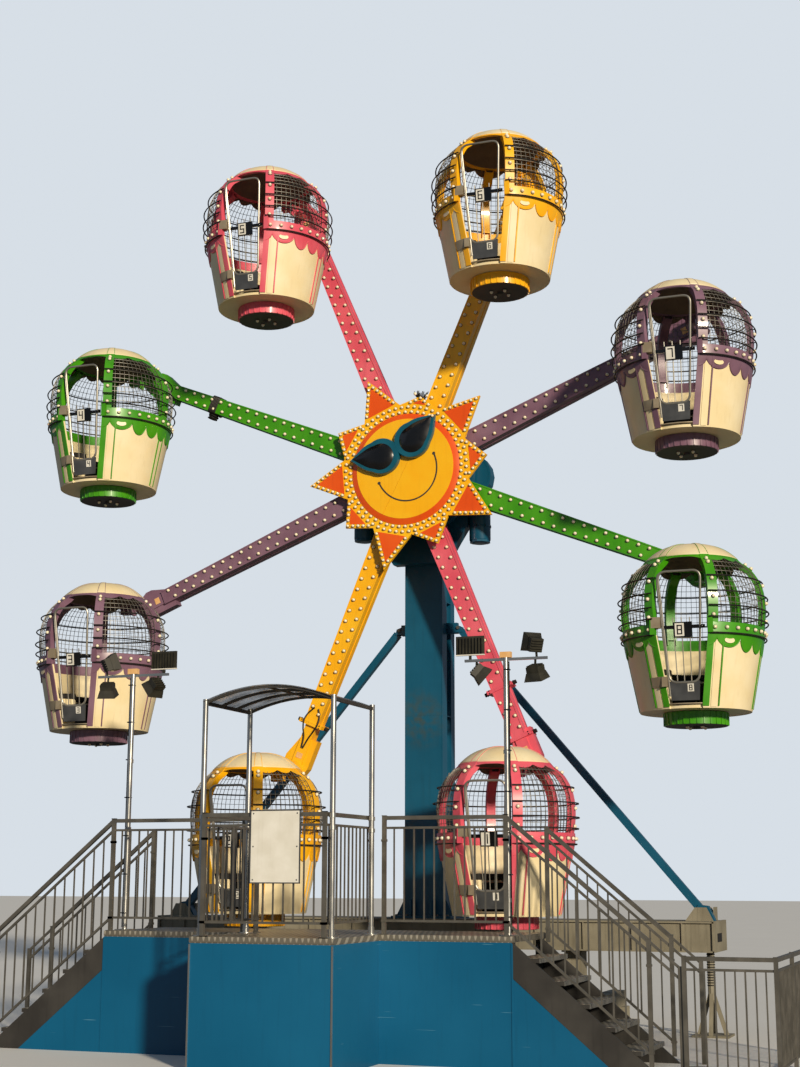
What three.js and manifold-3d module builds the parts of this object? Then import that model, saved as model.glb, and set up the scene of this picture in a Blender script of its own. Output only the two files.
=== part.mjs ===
// A fairground ferris wheel with eight round, domed cabs on eight tapered arms, carried in front of one
// square tower, with its loading deck, stairs, rails, canopy and lamp masts.
// Millimetres, +Z up. The origin is on the ground under the middle of the tower, and the wheel faces -Y.
import * as THREE from "three";
import { mergeVertices } from "three/addons/utils/BufferGeometryUtils.js";
import Module from "manifold-3d";

const wasm = await Module();
wasm.setup();

// Running gap between pieces that touch
const seat = 0.3;

// Wheel
const hubHeight = 7030;
const armCount = 8;
const firstArmAngle = 22.5;
const pivotRadius = 4135;
const armFront = -820;
const armBack = -600;
const hubDiscRadius = 800;
const hubDiscBack = -500;
const slewBack = -400;
const sunFront = -950;
const sunBack = -915;
const sunLongRay = 1345;
const sunShortRay = 1100;
const sunBentRay = 985; // the short ray at the top has lost its tip
const sunValley = 870;
const sunTilt = -23.3;
const armRootHalf = 142;
const armRootRadius = 495;
const armTaper = 0.0142;
const flangeHalf = 165;
const plainArm = { mainEnd: 3850, flanges: [] };
const armKinds = [
  plainArm,
  plainArm,
  plainArm,
  { mainEnd: 3775, flanges: [3110, 3775] },
  { mainEnd: 3510, flanges: [3510] },
  plainArm,
  plainArm,
  plainArm,
];

// Cab, measured from the middle of its floor
const cabY = -1910;
const pivotAboveFloor = 1790;
const floorRadius = 621;
const drumRadius = 362;
const drumDepth = 154;
const floorThick = 45;
const wallThick = 30;
const tubHeight = 800;
const tubTopRadius = 778;
const beltHeight = 125;
const beltRadius = 795;
const ribAngles = [26, 90, 150, 210, 270, 334];
const ribWidth = 110;
const ribDepth = 70;
const ribSteps = 4;
const hoopTube = 22;
const hoopSteps = 10;
const crownBottom = 1650;
const crownTop = 1712;
const crownRadius = 590;
const roofTop = 1915;
const roofRadius = 522;
const sleeveRadius = 66;
const sleeveFront = 600;
const sleeveBack = 840;
const pinRadius = 40;
const sillHalf = 185;
const beltHalf = 289;

// Cab door, in its own leaning plane
const doorFoot = new THREE.Vector3(0, -612, 130);
const doorHead = new THREE.Vector3(0, -800, 1500);
const doorFootHalf = 165;
const doorHeadHalf = 242;
const doorTube = 16;
const lowerHinge = 0.12;
const upperHinge = 0.58;

// Tower and base
const towerHalf = 255;
const towerDepthHalf = 250;
const towerTop = 7300;
const yokeBottom = 5880;
const motors = [
  { side: -1, bottom: 6240 },
  { side: 1, bottom: 6115 },
];
const beamEnd = 3680;
const beamHalfDepth = 400;
const beamBottom = 990;
const beamTop = 1340;
const skidX = 1900;

// Deck
const deckTop = 1270;
const deckThick = 60;
const deckHalf = 2310;
const deckFront = -4200;
const deckBack = -2800;
const bayFront = -5470;
const bayLeft = -620;
const bayRight = 900;
const skirtThick = 20;

// Stairs and rails
const riserCount = 6;
const treadRun = 250;
const stairWidth = 1180;
const stringerDeep = 260;
const railHeight = 1200;
const secondRail = 1090;
const bottomRail = 140;
const balusterPitch = 330;
const railY = deckFront + 20;
const newelX = 3980;

// Canopy and masts
const postTop = 3620;
const postFrontY = -5350;
const postBackY = -4290;
const postLeftX = -570;
const postRightX = 840;
const canopyRise = 145;
const mastX = 2205;
const mastY = -3950;
const mastHeight = 2840;
const lampHalf = 95;
const lampSpots = [
  { out: 305, up: 125 },
  { out: 325, up: -180 },
  { out: -283, up: -160 },
];
const panelOut = -390;

// Queue fence
const fenceY = -4200;
const fenceStart = newelX + 40 + seat;
const fenceCorner = 4890;
const fenceEnd = -1800;
const fenceHeight = 1110;

const finishes = {
  yellow: { color: 0xfdb413, roughness: 0.42, metalness: 0 },
  purple: { color: 0x7d5569, roughness: 0.42, metalness: 0 },
  green: { color: 0x43a010, roughness: 0.42, metalness: 0 },
  pink: { color: 0xe85a6e, roughness: 0.42, metalness: 0 },
  cream: { color: 0xf3e0b0, roughness: 0.5, metalness: 0 },
  orange: { color: 0xe8590c, roughness: 0.45, metalness: 0 },
  towerBlue: { color: 0x0e5c78, roughness: 0.4, metalness: 0 },
  skirtBlue: { color: 0x06699a, roughness: 0.5, metalness: 0 },
  steel: { color: 0x9a9c98, roughness: 0.4, metalness: 0.9 },
  alloy: { color: 0xc9cbca, roughness: 0.3, metalness: 1 },
  tan: { color: 0x9c8f74, roughness: 0.6, metalness: 0 },
  deckPlate: { color: 0x8d877b, roughness: 0.45, metalness: 0.8 },
  darkPaint: { color: 0x3a3634, roughness: 0.5, metalness: 0.2 },
};
const armColours = ["yellow", "purple", "green", "pink", "yellow", "purple", "green", "pink"];

const radians = THREE.MathUtils.degToRad;
const vec = (x, y, z) => new THREE.Vector3(x, y, z);

// A three.js geometry as a closed solid
function solid(geometry) {
  const bare = geometry.clone();
  bare.deleteAttribute("normal");
  bare.deleteAttribute("uv");
  const merged = mergeVertices(bare, 1e-3);
  return new wasm.Manifold(
    new wasm.Mesh({
      numProp: 3,
      vertProperties: merged.attributes.position.array,
      triVerts: new Uint32Array(merged.index.array),
    }),
  );
}

function joined(pieces) {
  return pieces.reduce((whole, piece) => whole.add(piece));
}

// A box between two corners
function block(x0, x1, y0, y1, z0, z1) {
  const box = new THREE.BoxGeometry(x1 - x0, y1 - y0, z1 - z0);
  box.translate((x0 + x1) / 2, (y0 + y1) / 2, (z0 + z1) / 2);
  return solid(box);
}

// A turned shape: [radius, height] points from axis to axis, or a closed ring
function turned(profile, sides) {
  const points = profile.map(([r, z]) => new THREE.Vector2(r, z));
  const lathe = new THREE.LatheGeometry(points, sides);
  lathe.rotateX(Math.PI / 2);
  return solid(lathe);
}

// A straight bar of regular section from a to b; a corner of the section points along +X where it can
function rod(a, b, radius, sides) {
  const length = a.distanceTo(b);
  const bar = new THREE.CylinderGeometry(radius, radius, length, sides);
  bar.translate(0, length / 2, 0);
  const along = b.clone().sub(a).normalize();
  bar.applyQuaternion(new THREE.Quaternion().setFromUnitVectors(vec(0, 1, 0), along));
  bar.translate(a.x, a.y, a.z);
  return solid(bar);
}

// A straight bar of rectangular section: wide across, deep along the normal
function beam(a, b, wide, deep, normal) {
  const along = b.clone().sub(a);
  const length = along.length();
  along.normalize();
  const across = along.clone().cross(normal).normalize();
  const face = across.clone().cross(along).normalize();
  const box = new THREE.BoxGeometry(wide, length, deep);
  box.translate(0, length / 2, 0);
  box.applyMatrix4(new THREE.Matrix4().makeBasis(across, along, face).setPosition(a));
  return solid(box);
}

// A flat outline in the XZ plane given as [x, z] points, from y0 to y1
function plate(outline, y0, y1) {
  const shape = new THREE.Shape(outline.map(([x, z]) => new THREE.Vector2(x, z)));
  const slab = new THREE.ExtrudeGeometry(shape, { depth: y1 - y0, bevelEnabled: false });
  slab.rotateX(Math.PI / 2);
  slab.translate(0, y1, 0);
  return solid(slab);
}

// A flat outline in the XY plane given as [x, y] points, from z0 to z1
function slabOf(outline, z0, z1) {
  const shape = new THREE.Shape(outline.map(([x, y]) => new THREE.Vector2(x, y)));
  const slab = new THREE.ExtrudeGeometry(shape, { depth: z1 - z0, bevelEnabled: false });
  slab.translate(0, 0, z0);
  return solid(slab);
}

// A bar of rectangular section along a curve. On a level curve the section's width is upright, and on a
// curve in the YZ plane it lies along X.
function swept(curve, steps, wide, deep) {
  const section = new THREE.Shape([
    new THREE.Vector2(-wide / 2, -deep / 2),
    new THREE.Vector2(wide / 2, -deep / 2),
    new THREE.Vector2(wide / 2, deep / 2),
    new THREE.Vector2(-wide / 2, deep / 2),
  ]);
  return solid(new THREE.ExtrudeGeometry(section, { steps, extrudePath: curve, bevelEnabled: false }));
}

// A level arc round the cab's middle, with its angle counted from the door
class LevelArc extends THREE.Curve {
  constructor(radius, height, from, to) {
    super();
    Object.assign(this, { radius, height, from, to });
  }

  getPoint(share) {
    return onRibs(THREE.MathUtils.lerp(this.from, this.to, share), this.radius, this.height);
  }
}

const wheel = new THREE.Group();

function addPiece(name, body, finish, group = wheel) {
  const mesh = body.getMesh();
  const geometry = new THREE.BufferGeometry();
  geometry.setAttribute("position", new THREE.BufferAttribute(mesh.vertProperties, 3));
  geometry.setIndex(new THREE.BufferAttribute(mesh.triVerts, 1));
  const piece = new THREE.Mesh(geometry, new THREE.MeshStandardMaterial(finishes[finish]));
  piece.name = name;
  group.add(piece);
}

// Cab tub: floor, tapered wall with a doorway, drum below, and a horseshoe bench
function cabTub() {
  const wallLean = (tubTopRadius - floorRadius) / tubHeight;
  const shell = turned(
    [
      [0, -drumDepth],
      [drumRadius, -drumDepth],
      [drumRadius, 0],
      [floorRadius, 0],
      [tubTopRadius, tubHeight],
      [tubTopRadius - wallThick, tubHeight],
      [floorRadius + wallLean * floorThick - wallThick, floorThick],
      [0, floorThick],
    ],
    16,
  );
  const seatTop = 400;
  const seatInner = 330;
  const bench = turned(
    [
      [seatInner, floorThick - 5],
      [floorRadius - 15, floorThick - 5],
      [floorRadius + wallLean * seatTop - 15, seatTop],
      [seatInner, seatTop],
      [seatInner, floorThick - 5],
    ],
    16,
  );
  const legRoom = slabOf([[0, 180], [-1000, -520], [-1000, -1000], [1000, -1000], [1000, -520]], floorThick, 900);
  const flare = (beltHalf - sillHalf) / (tubHeight - floorThick);
  const doorway = plate(
    [
      [-sillHalf, floorThick],
      [sillHalf, floorThick],
      [beltHalf + flare * 100, tubHeight + 100],
      [-beltHalf - flare * 100, tubHeight + 100],
    ],
    -1000,
    -300,
  );
  return shell.add(bench.subtract(legRoom)).subtract(doorway).add(hingeBlock(lowerHinge, 50));
}

// Outer line of a rib as [radius, height], from the belt to the crown
const ribLine = [
  [788, 905],
  [817, 1150],
  [787, 1390],
  [690, 1575],
  [560, 1672],
];

function onRibs(angle, radius, height) {
  const turn = radians(angle);
  return vec(radius * Math.sin(turn), -radius * Math.cos(turn), height);
}

function cabRib(angle) {
  const middle = ribLine.map(([r, z]) => vec(0, ribDepth / 2 - r, z));
  const rib = swept(new THREE.CatmullRomCurve3(middle), ribSteps, ribWidth, ribDepth);
  return rib.rotate([0, 0, angle]);
}

// A round cage bar at one height, open at the doorway
function cageHoop(radius, height) {
  const from = ribAngles[0];
  const to = ribAngles[ribAngles.length - 1];
  return swept(new LevelArc(radius, height, from, to), hoopSteps, hoopTube, hoopTube);
}

// Painted frame of a cab: belt, ribs, crown ring, cage hoops, the bearing sleeve and the two hinge blocks
function cabFrame() {
  const belt = turned(
    [
      [beltRadius, tubHeight + seat],
      [beltRadius, tubHeight + beltHeight],
      [beltRadius - 40, tubHeight + beltHeight],
      [beltRadius - 40, tubHeight + seat],
      [beltRadius, tubHeight + seat],
    ],
    16,
  ).subtract(block(-beltHalf, beltHalf, -1000, -300, tubHeight - 50, tubHeight + 200));
  const crown = turned(
    [
      [crownRadius, crownBottom],
      [roofRadius + 10, crownTop],
      [roofRadius - 42, crownTop],
      [crownRadius - 60, crownBottom],
      [crownRadius, crownBottom],
    ],
    12,
  );
  const sleeve = rod(vec(0, sleeveFront, pivotAboveFloor), vec(0, sleeveBack, pivotAboveFloor), sleeveRadius, 10);
  const bore = rod(
    vec(0, sleeveFront - 10, pivotAboveFloor),
    vec(0, sleeveBack + 10, pivotAboveFloor),
    pinRadius + 2.5,
    10,
  );
  const web = block(-12, 12, sleeveFront, sleeveBack, 1620, pivotAboveFloor - 50);
  const foot = block(-60, 60, sleeveFront - 50, sleeveFront + 30, 1600, 1700);
  const pieces = [belt, crown, sleeve, web, foot];
  ribAngles.forEach((angle) => pieces.push(cabRib(angle)));
  pieces.push(cageHoop(740, 1470), cageHoop(792, 1290), cageHoop(796, 1110));
  return joined(pieces).subtract(bore);
}

function cabRoof() {
  const base = crownTop + seat;
  return turned(
    [
      [0, roofTop],
      [200, roofTop - 18],
      [370, roofTop - 68],
      [roofRadius - 42, roofTop - 130],
      [roofRadius, roofTop - 188],
      [roofRadius, base],
      [roofRadius - 30, base],
      [350, roofTop - 96],
      [190, roofTop - 45],
      [0, roofTop - 28],
    ].reverse(),
    12,
  );
}

// A point of the door's plane: x across, and a share of the way from its foot to its head
function onDoor(x, share) {
  return doorFoot.clone().lerp(doorHead, share).add(vec(x, 0, 0));
}

function doorHalfAt(share) {
  return THREE.MathUtils.lerp(doorFootHalf, doorHeadHalf, share);
}

// Door: a tapered tube frame with a kick plate, a latch bar and three upright bars
function cabDoor() {
  const out = doorHead.clone().sub(doorFoot).cross(vec(1, 0, 0)).normalize();
  const height = doorHead.distanceTo(doorFoot);
  const ring = (edge, foot) => [
    [-doorFootHalf + edge, foot],
    [-doorHeadHalf + edge, height - 70],
    [-doorHeadHalf + 60 + edge / 3, height - edge],
    [doorHeadHalf - 60 - edge / 3, height - edge],
    [doorHeadHalf - edge, height - 70],
    [doorFootHalf - edge, foot],
  ];
  const flat = plate(ring(-8, 0), -11, 11).subtract(plate(ring(15, 150), -30, 30));
  const lean = THREE.MathUtils.radToDeg(Math.atan2(doorFoot.y - doorHead.y, doorHead.z - doorFoot.z));
  const frame = flat.rotate([lean, 0, 0]).translate(doorFoot.toArray());
  const stile = rod(onDoor(-doorFootHalf, 0), onDoor(-doorHalfAt(0.93), 0.93), doorTube, 12);
  const latchShare = 0.55;
  const latch = beam(
    onDoor(-doorHalfAt(latchShare), latchShare),
    onDoor(doorHalfAt(latchShare) + 30, latchShare),
    45,
    16,
    out,
  );
  const bars = [-80, 0, 80].map((x) => beam(onDoor(x * 0.9, 0.1), onDoor(x * 1.1, latchShare), 12, 12, out));
  return joined([frame, stile, latch, ...bars]);
}

// A hinge block on the left jamb, with the knuckle that meets the door's stile, at a share of the door's height
function hingeBlock(share, wide) {
  const stile = onDoor(-doorHalfAt(share), share);
  const face = stile.x - doorTube - 5;
  const reach = stile.x - doorTube - 2 * seat;
  return block(face - wide, face, stile.y - 30, stile.y + 30, stile.z - 35, stile.z + 35).add(
    block(face - 5, reach, stile.y - 8, stile.y + 8, stile.z - 5, stile.z + 5),
  );
}

// Pivot axle at an arm's tip, and the bearing housing behind it
function pivotAxle() {
  const housingFront = cabY + sleeveBack + seat;
  const pinFront = cabY + sleeveFront - 25;
  const housing = rod(vec(0, housingFront, pivotRadius), vec(0, armBack - 40, pivotRadius), 105, 10);
  const pin = rod(vec(0, pinFront, pivotRadius), vec(0, housingFront + 20, pivotRadius), pinRadius, 10);
  const cap = rod(vec(0, pinFront - 15, pivotRadius), vec(0, cabY + sleeveFront - seat, pivotRadius), 50, 10);
  return housing.add(pin).add(cap);
}

// Arm: a tapered box beam with any pinned coupling flanges, a slimmer end piece and the broad bracket at the pivot
function wheelArm({ mainEnd, flanges }) {
  const endHalf = armRootHalf - armTaper * (mainEnd - armRootRadius);
  const main = plate(
    [
      [-50, 400],
      [50, 400],
      [armRootHalf, armRootRadius],
      [endHalf, mainEnd],
      [-endHalf, mainEnd],
      [-armRootHalf, armRootRadius],
    ],
    armFront,
    armBack - seat,
  );
  const couplings = flanges.flatMap((radius) => [
    block(-flangeHalf, flangeHalf, armFront - 15, armBack - 5, radius - 20, radius + 25),
    rod(vec(-flangeHalf - 50, -740, radius), vec(flangeHalf + 50, -740, radius), 24, 6),
  ]);
  const slim = block(-75, 75, armFront + 20, armBack - 30, mainEnd - 5, pivotRadius + 20);
  const bracket = plate(
    [
      [-165, pivotRadius - 435],
      [75, pivotRadius - 435],
      [190, pivotRadius - 145],
      [190, pivotRadius - 60],
      [110, pivotRadius + 90],
      [-110, pivotRadius + 90],
      [-165, pivotRadius - 60],
    ],
    armFront + 40,
    armBack - 40,
  );
  return joined([main, ...couplings, slim, bracket, pivotAxle()]);
}

// Hub: the turning disc with the boss that carries the sun in front of the arms
function hubRing() {
  const disc = rod(vec(0, armBack, 0), vec(0, hubDiscBack, 0), hubDiscRadius, 32);
  const boss = rod(vec(0, sunBack + seat, 0), vec(0, armBack + 10, 0), 300, 16);
  return disc.add(boss);
}

// Sun: a disc and ten rays, long and short in turn
function sunFace() {
  const outline = [];
  for (let i = 0; i < 10; i++) {
    const tip = i === 1 ? sunBentRay : i % 2 === 0 ? sunLongRay : sunShortRay;
    const turn = radians(sunTilt + 36 * i);
    const between = radians(sunTilt + 36 * i + 18);
    outline.push([tip * Math.sin(turn), tip * Math.cos(turn)]);
    outline.push([sunValley * Math.sin(between), sunValley * Math.cos(between)]);
  }
  return plate(outline.reverse(), sunFront, sunBack);
}

function tower() {
  const shaft = block(-towerHalf, towerHalf, -towerDepthHalf, towerDepthHalf, beamTop + seat, towerTop);
  const channel = block(towerHalf - 60, towerHalf + 10, -60, 110, beamTop + 300, towerTop - 900);
  const foot = block(-400, 400, -380, 380, beamTop + seat, beamTop + 30);
  const lugs = [-1, 1].map((side) =>
    block(Math.min(side * 150, side * 390), Math.max(side * 150, side * 390), -40, 40, 4990, 5130),
  );
  return joined([shaft.subtract(channel), foot, ...lugs]);
}

// Fixed slewing head on the tower: the ring, its tapering yoke plate, and a gearbox with a hanging motor on each side
function driveHead() {
  const ring = rod(vec(0, hubDiscBack + seat, hubHeight), vec(0, slewBack, hubHeight), 760, 24);
  const half = [
    [370, yokeBottom],
    [525, 6140],
    [666, 6360],
    [690, 6700],
    [690, 7350],
    [450, 7600],
  ];
  const otherHalf = half.map(([x, z]) => [-x, z]).reverse();
  const yoke = plate([...half, ...otherHalf], slewBack - 5, -towerDepthHalf - seat);
  const pieces = [ring, yoke];
  motors.forEach(({ side, bottom }) => {
    const gearX = side * 680;
    const motorX = side * 808;
    pieces.push(rod(vec(gearX, slewBack - 50, 6990), vec(gearX, -towerDepthHalf - 10, 6990), 315, 16));
    pieces.push(rod(vec(motorX, -330, bottom), vec(motorX, -330, 6850), 135, 12));
  });
  return joined(pieces);
}

function sideBrace(side) {
  const head = vec(side * 410, 0, 5060);
  const foot = vec(side * 3470, 0, beamTop + 130);
  const lean = foot.clone().sub(head).normalize();
  const tube = beam(
    head.clone().addScaledVector(lean, 60),
    foot.clone().addScaledVector(lean, -20),
    90,
    90,
    vec(0, 1, 0),
  );
  const ears = [-1, 1].map((face) =>
    plate([[side * 330, 5000], [side * 330, 5120], [side * 450, 5075], [side * 470, 5000]], 0, 14).translate([
      0,
      face > 0 ? 40 + seat : -54 - seat,
      0,
    ]),
  );
  const shoe = plate(
    [
      [side * 3340, beamTop + seat],
      [side * 3640, beamTop + seat],
      [side * 3560, beamTop + 175],
      [side * 3440, beamTop + 190],
    ],
    -60,
    60,
  );
  return joined([tube, shoe, ...ears]);
}

// Base: the long box beam under the tower, skids to front and back, posts, pads and end stands
function baseFrame() {
  const pieces = [block(-beamEnd, beamEnd, -beamHalfDepth, beamHalfDepth, beamBottom, beamTop)];
  pieces.push(block(-300, 300, -300, 300, 100, beamBottom + 10), block(-450, 450, -450, 450, 0, 110));
  [-skidX, skidX].forEach((x) => {
    pieces.push(block(x - 100, x + 100, deckBack + seat, 2300, 150, 360));
    pieces.push(block(x - 100, x + 100, -150, 150, 350, beamBottom + 10));
    [-2500, 2100].forEach((y) => pieces.push(block(x - 160, x + 160, y - 160, y + 160, 0, 160)));
  });
  pieces.push(block(-skidX, skidX, -150, 150, 170, 320));
  [-1, 1].forEach((side) => {
    const x = side * 3560;
    pieces.push(rod(vec(x, 0, 420), vec(x, 0, beamBottom + 10), 45, 8));
    pieces.push(block(x - 220, x + 220, -220, 220, 0, 25));
    const legs = plate([[-190, 15], [-20, 560], [20, 560], [190, 15], [140, 15], [0, 480], [-140, 15]].reverse(), -22, 22);
    pieces.push(legs.translate([x, 0, 0]), legs.rotate([0, 0, 90]).translate([x, 0, 0]));
  });
  return joined(pieces);
}

const deckOutline = [
  [-deckHalf, deckFront],
  [bayLeft, deckFront],
  [bayLeft, bayFront],
  [bayRight, bayFront],
  [bayRight, deckFront],
  [deckHalf, deckFront],
  [deckHalf, deckBack],
  [-deckHalf, deckBack],
];

function deck() {
  const pieces = [slabOf(deckOutline, deckTop - deckThick, deckTop)];
  const legs = [
    [-2230, -4080],
    [-2230, -2860],
    [-skidX, deckBack - 40],
    [skidX, deckBack - 40],
    [2230, -4080],
    [2230, -2860],
    [bayLeft + 90, bayFront + 110],
    [bayRight - 90, bayFront + 110],
    [140, -2860],
  ];
  legs.forEach(([x, y]) => {
    pieces.push(block(x - 40, x + 40, y - 40, y + 40, 0, deckTop - deckThick + 5));
  });
  return joined(pieces);
}

const stairRun = riserCount * treadRun;
const riser = deckTop / riserCount;

// Blue skirt along the deck's front, round the bay, and under both flights
function skirt() {
  const top = deckTop - deckThick - seat;
  const y0 = deckFront;
  const wall = (x0, x1, ya, yb) => block(x0, x1, ya, yb, 0, top);
  const pieces = [
    wall(-deckHalf, bayLeft + skirtThick, y0, y0 + skirtThick),
    wall(bayLeft, bayLeft + skirtThick, bayFront, y0 + skirtThick),
    wall(bayLeft, bayRight, bayFront, bayFront + skirtThick),
    wall(bayRight - skirtThick, bayRight, bayFront, y0 + skirtThick),
    wall(bayRight - skirtThick, deckHalf, y0, y0 + skirtThick),
  ];
  [-1, 1].forEach((side) => {
    const slope = riser / treadRun;
    const low = top - stringerDeep / Math.cos(Math.atan(slope));
    pieces.push(
      plate(
        [
          [side * (deckHalf - 10), 0],
          [side * (deckHalf - 10), low + 5],
          [side * (deckHalf + low / slope), 0],
        ],
        y0,
        y0 + skirtThick,
      ),
    );
  });
  return joined(pieces);
}

// One flight: two stringers and the treads between them, rising towards the deck's end
function stair(side) {
  const slope = riser / treadRun;
  const top = deckTop - deckThick - seat;
  const drop = stringerDeep / Math.cos(Math.atan(slope));
  const start = deckHalf + seat;
  const low = top - drop + 0.6;
  const stringer = [
    [side * start, top],
    [side * start, low],
    [side * (start + low / slope), 0],
    [side * (start + top / slope), 0],
  ];
  const pieces = [];
  [deckFront, deckFront + stairWidth - 40].forEach((y) => pieces.push(plate(stringer, y, y + 40)));
  for (let i = 1; i < riserCount; i++) {
    const near = side * (deckHalf + 4 + (i - 1) * treadRun);
    const far = side * (deckHalf + i * treadRun + 20);
    const z = deckTop - i * riser;
    const y0 = deckFront + 30;
    pieces.push(block(Math.min(near, far), Math.max(near, far), y0, deckFront + stairWidth - 30, z - 40, z));
  }
  return joined(pieces);
}

// A rail panel from a to b on their bases: end posts, three rails and balusters
function railPanel(a, b, top = railHeight, second = secondRail, bottom = bottomRail) {
  const up = (p, h) => vec(p.x, p.y, p.z + h);
  const pieces = [];
  [a, b].forEach((p) => pieces.push(block(p.x - 20, p.x + 20, p.y - 20, p.y + 20, p.z, p.z + top)));
  [top - 20, second - 12, bottom].forEach((h, i) => {
    const wide = i === 0 ? 40 : 24;
    const flat = b.clone().sub(a).setZ(0).normalize();
    pieces.push(beam(up(a, h), up(b, h), wide, wide, flat.clone().cross(vec(0, 0, 1))));
  });
  const count = Math.max(1, Math.round(Math.hypot(b.x - a.x, b.y - a.y) / balusterPitch));
  for (let i = 1; i < count; i++) {
    const p = a.clone().lerp(b, i / count);
    pieces.push(block(p.x - 8, p.x + 8, p.y - 8, p.y + 8, p.z + bottom, p.z + second - 12));
  }
  return joined(pieces);
}

const railBase = deckTop + seat;

// Where a post's square foot stands clear above the stringer's sloping top edge
function stringerFoot(x) {
  const slope = riser / treadRun;
  return deckTop - deckThick - (Math.abs(x) - deckHalf - 20) * slope + seat;
}

// Handrail of a flight from its head post down to the newel, with both top rails carried on to it
function stairRail(side, head) {
  const footX = side * (deckHalf + stairRun - 130);
  const foot = vec(footX, head.y, stringerFoot(footX));
  const slope = (head.z - foot.z) / Math.abs(foot.x - head.x);
  const fall = (newelX - Math.abs(footX)) * slope;
  const x = side * newelX;
  const newelTop = foot.z + railHeight - fall;
  const pieces = [railPanel(head, foot), block(x - 20, x + 20, head.y - 20, head.y + 20, 0, newelTop)];
  [railHeight - 20, secondRail - 12].forEach((h) => {
    pieces.push(beam(vec(footX, head.y, foot.z + h), vec(x, head.y, foot.z + h - fall), 24, 24, vec(0, 1, 0)));
  });
  return joined(pieces);
}

// Rail along the deck's front to its end, carried down the flight's front stringer
function deckRail(side) {
  const outer = vec(side * (deckHalf - 60), railY, railBase);
  const inner = vec(side > 0 ? bayRight + 40 : bayLeft - 40, railY, railBase);
  return railPanel(inner, outer).add(stairRail(side, outer));
}

// Handrail on the flight's back stringer
function backStairRail(side) {
  const headX = side * (deckHalf + 60);
  return stairRail(side, vec(headX, deckFront + stairWidth - 20, stringerFoot(headX)));
}

function bayRail() {
  const left = bayLeft + 105;
  const right = bayRight - 115;
  const front = bayFront + 60;
  const corner = (x, y) => vec(x, y, railBase);
  return joined([
    railPanel(corner(left, deckFront + 40), corner(left, front)),
    railPanel(corner(left, front), corner(right, front)),
    railPanel(corner(right, front), corner(right, deckFront + 40)),
  ]);
}

// Canopy over the bay: four posts, two arches, end rails and an arched sheet
function canopy() {
  const pieces = [];
  const arc = (t) => {
    const x = THREE.MathUtils.lerp(postLeftX, postRightX, t);
    return [x, postTop - 40 + canopyRise * (1 - (2 * t - 1) ** 2)];
  };
  const steps = 6;
  [postFrontY, postBackY].forEach((y) => {
    [postLeftX, postRightX].forEach((x) => pieces.push(rod(vec(x, y, railBase), vec(x, y, postTop), 28, 8)));
    const line = [];
    for (let i = 0; i <= steps; i++) line.push(arc(i / steps));
    const arch = [...line.map(([x, z]) => [x, z + 17]).reverse(), ...line.map(([x, z]) => [x, z - 17])];
    pieces.push(plate(arch, y - 17, y + 17));
  });
  [postLeftX, postRightX].forEach((x) => {
    pieces.push(beam(vec(x, postFrontY, postTop - 40), vec(x, postBackY, postTop - 40), 34, 34, vec(0, 0, 1)));
  });
  const over = [];
  const under = [];
  for (let i = 0; i <= steps; i++) {
    const [x, z] = arc(i / steps);
    over.push([x, z + 22]);
    under.push([x, z + 12]);
  }
  pieces.push(plate([...over.reverse(), ...under], postFrontY - 40, postBackY + 40));
  return joined(pieces);
}

// Lamp mast: pole, foot plate, crossbar, three floodlights and a flat panel light on the inner side
function lampMast(side) {
  const x = side * mastX;
  const top = railBase + mastHeight;
  const pieces = [
    block(x - 80, x + 80, mastY - 80, mastY + 80, railBase, railBase + 12),
    rod(vec(x, mastY, railBase + 5), vec(x, mastY, top), 28, 8),
    block(x - 450, x + 450, mastY - 20, mastY + 20, top - 45, top - 5),
  ];
  const stem = (middle) => block(middle - 12, middle + 12, mastY - 12, mastY + 12, top - 100, top + 45);
  lampSpots.forEach(({ out, up }) => {
    const middle = x + side * out;
    const z = top + up;
    pieces.push(stem(middle));
    pieces.push(
      block(middle - lampHalf, middle + lampHalf, mastY - 100, mastY + 70, z - lampHalf, z + lampHalf),
    );
  });
  const panel = x + side * panelOut;
  pieces.push(stem(panel), block(panel - 155, panel + 155, mastY - 50, mastY + 14, top + 30, top + 235));
  return joined(pieces);
}

function queueFence() {
  const base = (x, y) => vec(x, y, 0);
  const fence = (a, b) => railPanel(a, b, fenceHeight, fenceHeight - 110, 90);
  const middle = (fenceY + fenceEnd) / 2;
  return joined([
    fence(base(fenceStart, fenceY), base(fenceCorner, fenceY)),
    fence(base(fenceCorner, fenceY), base(fenceCorner, middle)),
    fence(base(fenceCorner, middle), base(fenceCorner, fenceEnd)),
  ]);
}

// Build each shape that repeats once, and place its copies
const tubShape = cabTub();
const frameShape = cabFrame().add(hingeBlock(upperHinge, 85));
const roofShape = cabRoof();
const doorShape = cabDoor();
const armShapes = new Map(armKinds.map((kind) => [kind, wheelArm(kind)]));

for (let i = 0; i < armCount; i++) {
  const number = i + 1;
  const colour = armColours[i];
  const angle = firstArmAngle + (360 / armCount) * i;
  const turn = radians(angle);

  const arm = new THREE.Group();
  arm.position.z = hubHeight;
  arm.rotation.y = turn;
  addPiece(`arm_${number}`, armShapes.get(armKinds[i]), colour, arm);
  wheel.add(arm);

  const cab = new THREE.Group();
  cab.position.set(
    pivotRadius * Math.sin(turn),
    cabY,
    hubHeight + pivotRadius * Math.cos(turn) - pivotAboveFloor,
  );
  addPiece(`cab_${number}_tub`, tubShape, "cream", cab);
  addPiece(`cab_${number}_frame`, frameShape, colour, cab);
  addPiece(`cab_${number}_roof`, roofShape, "cream", cab);
  addPiece(`cab_${number}_door`, doorShape, "alloy", cab);
  wheel.add(cab);
}

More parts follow.
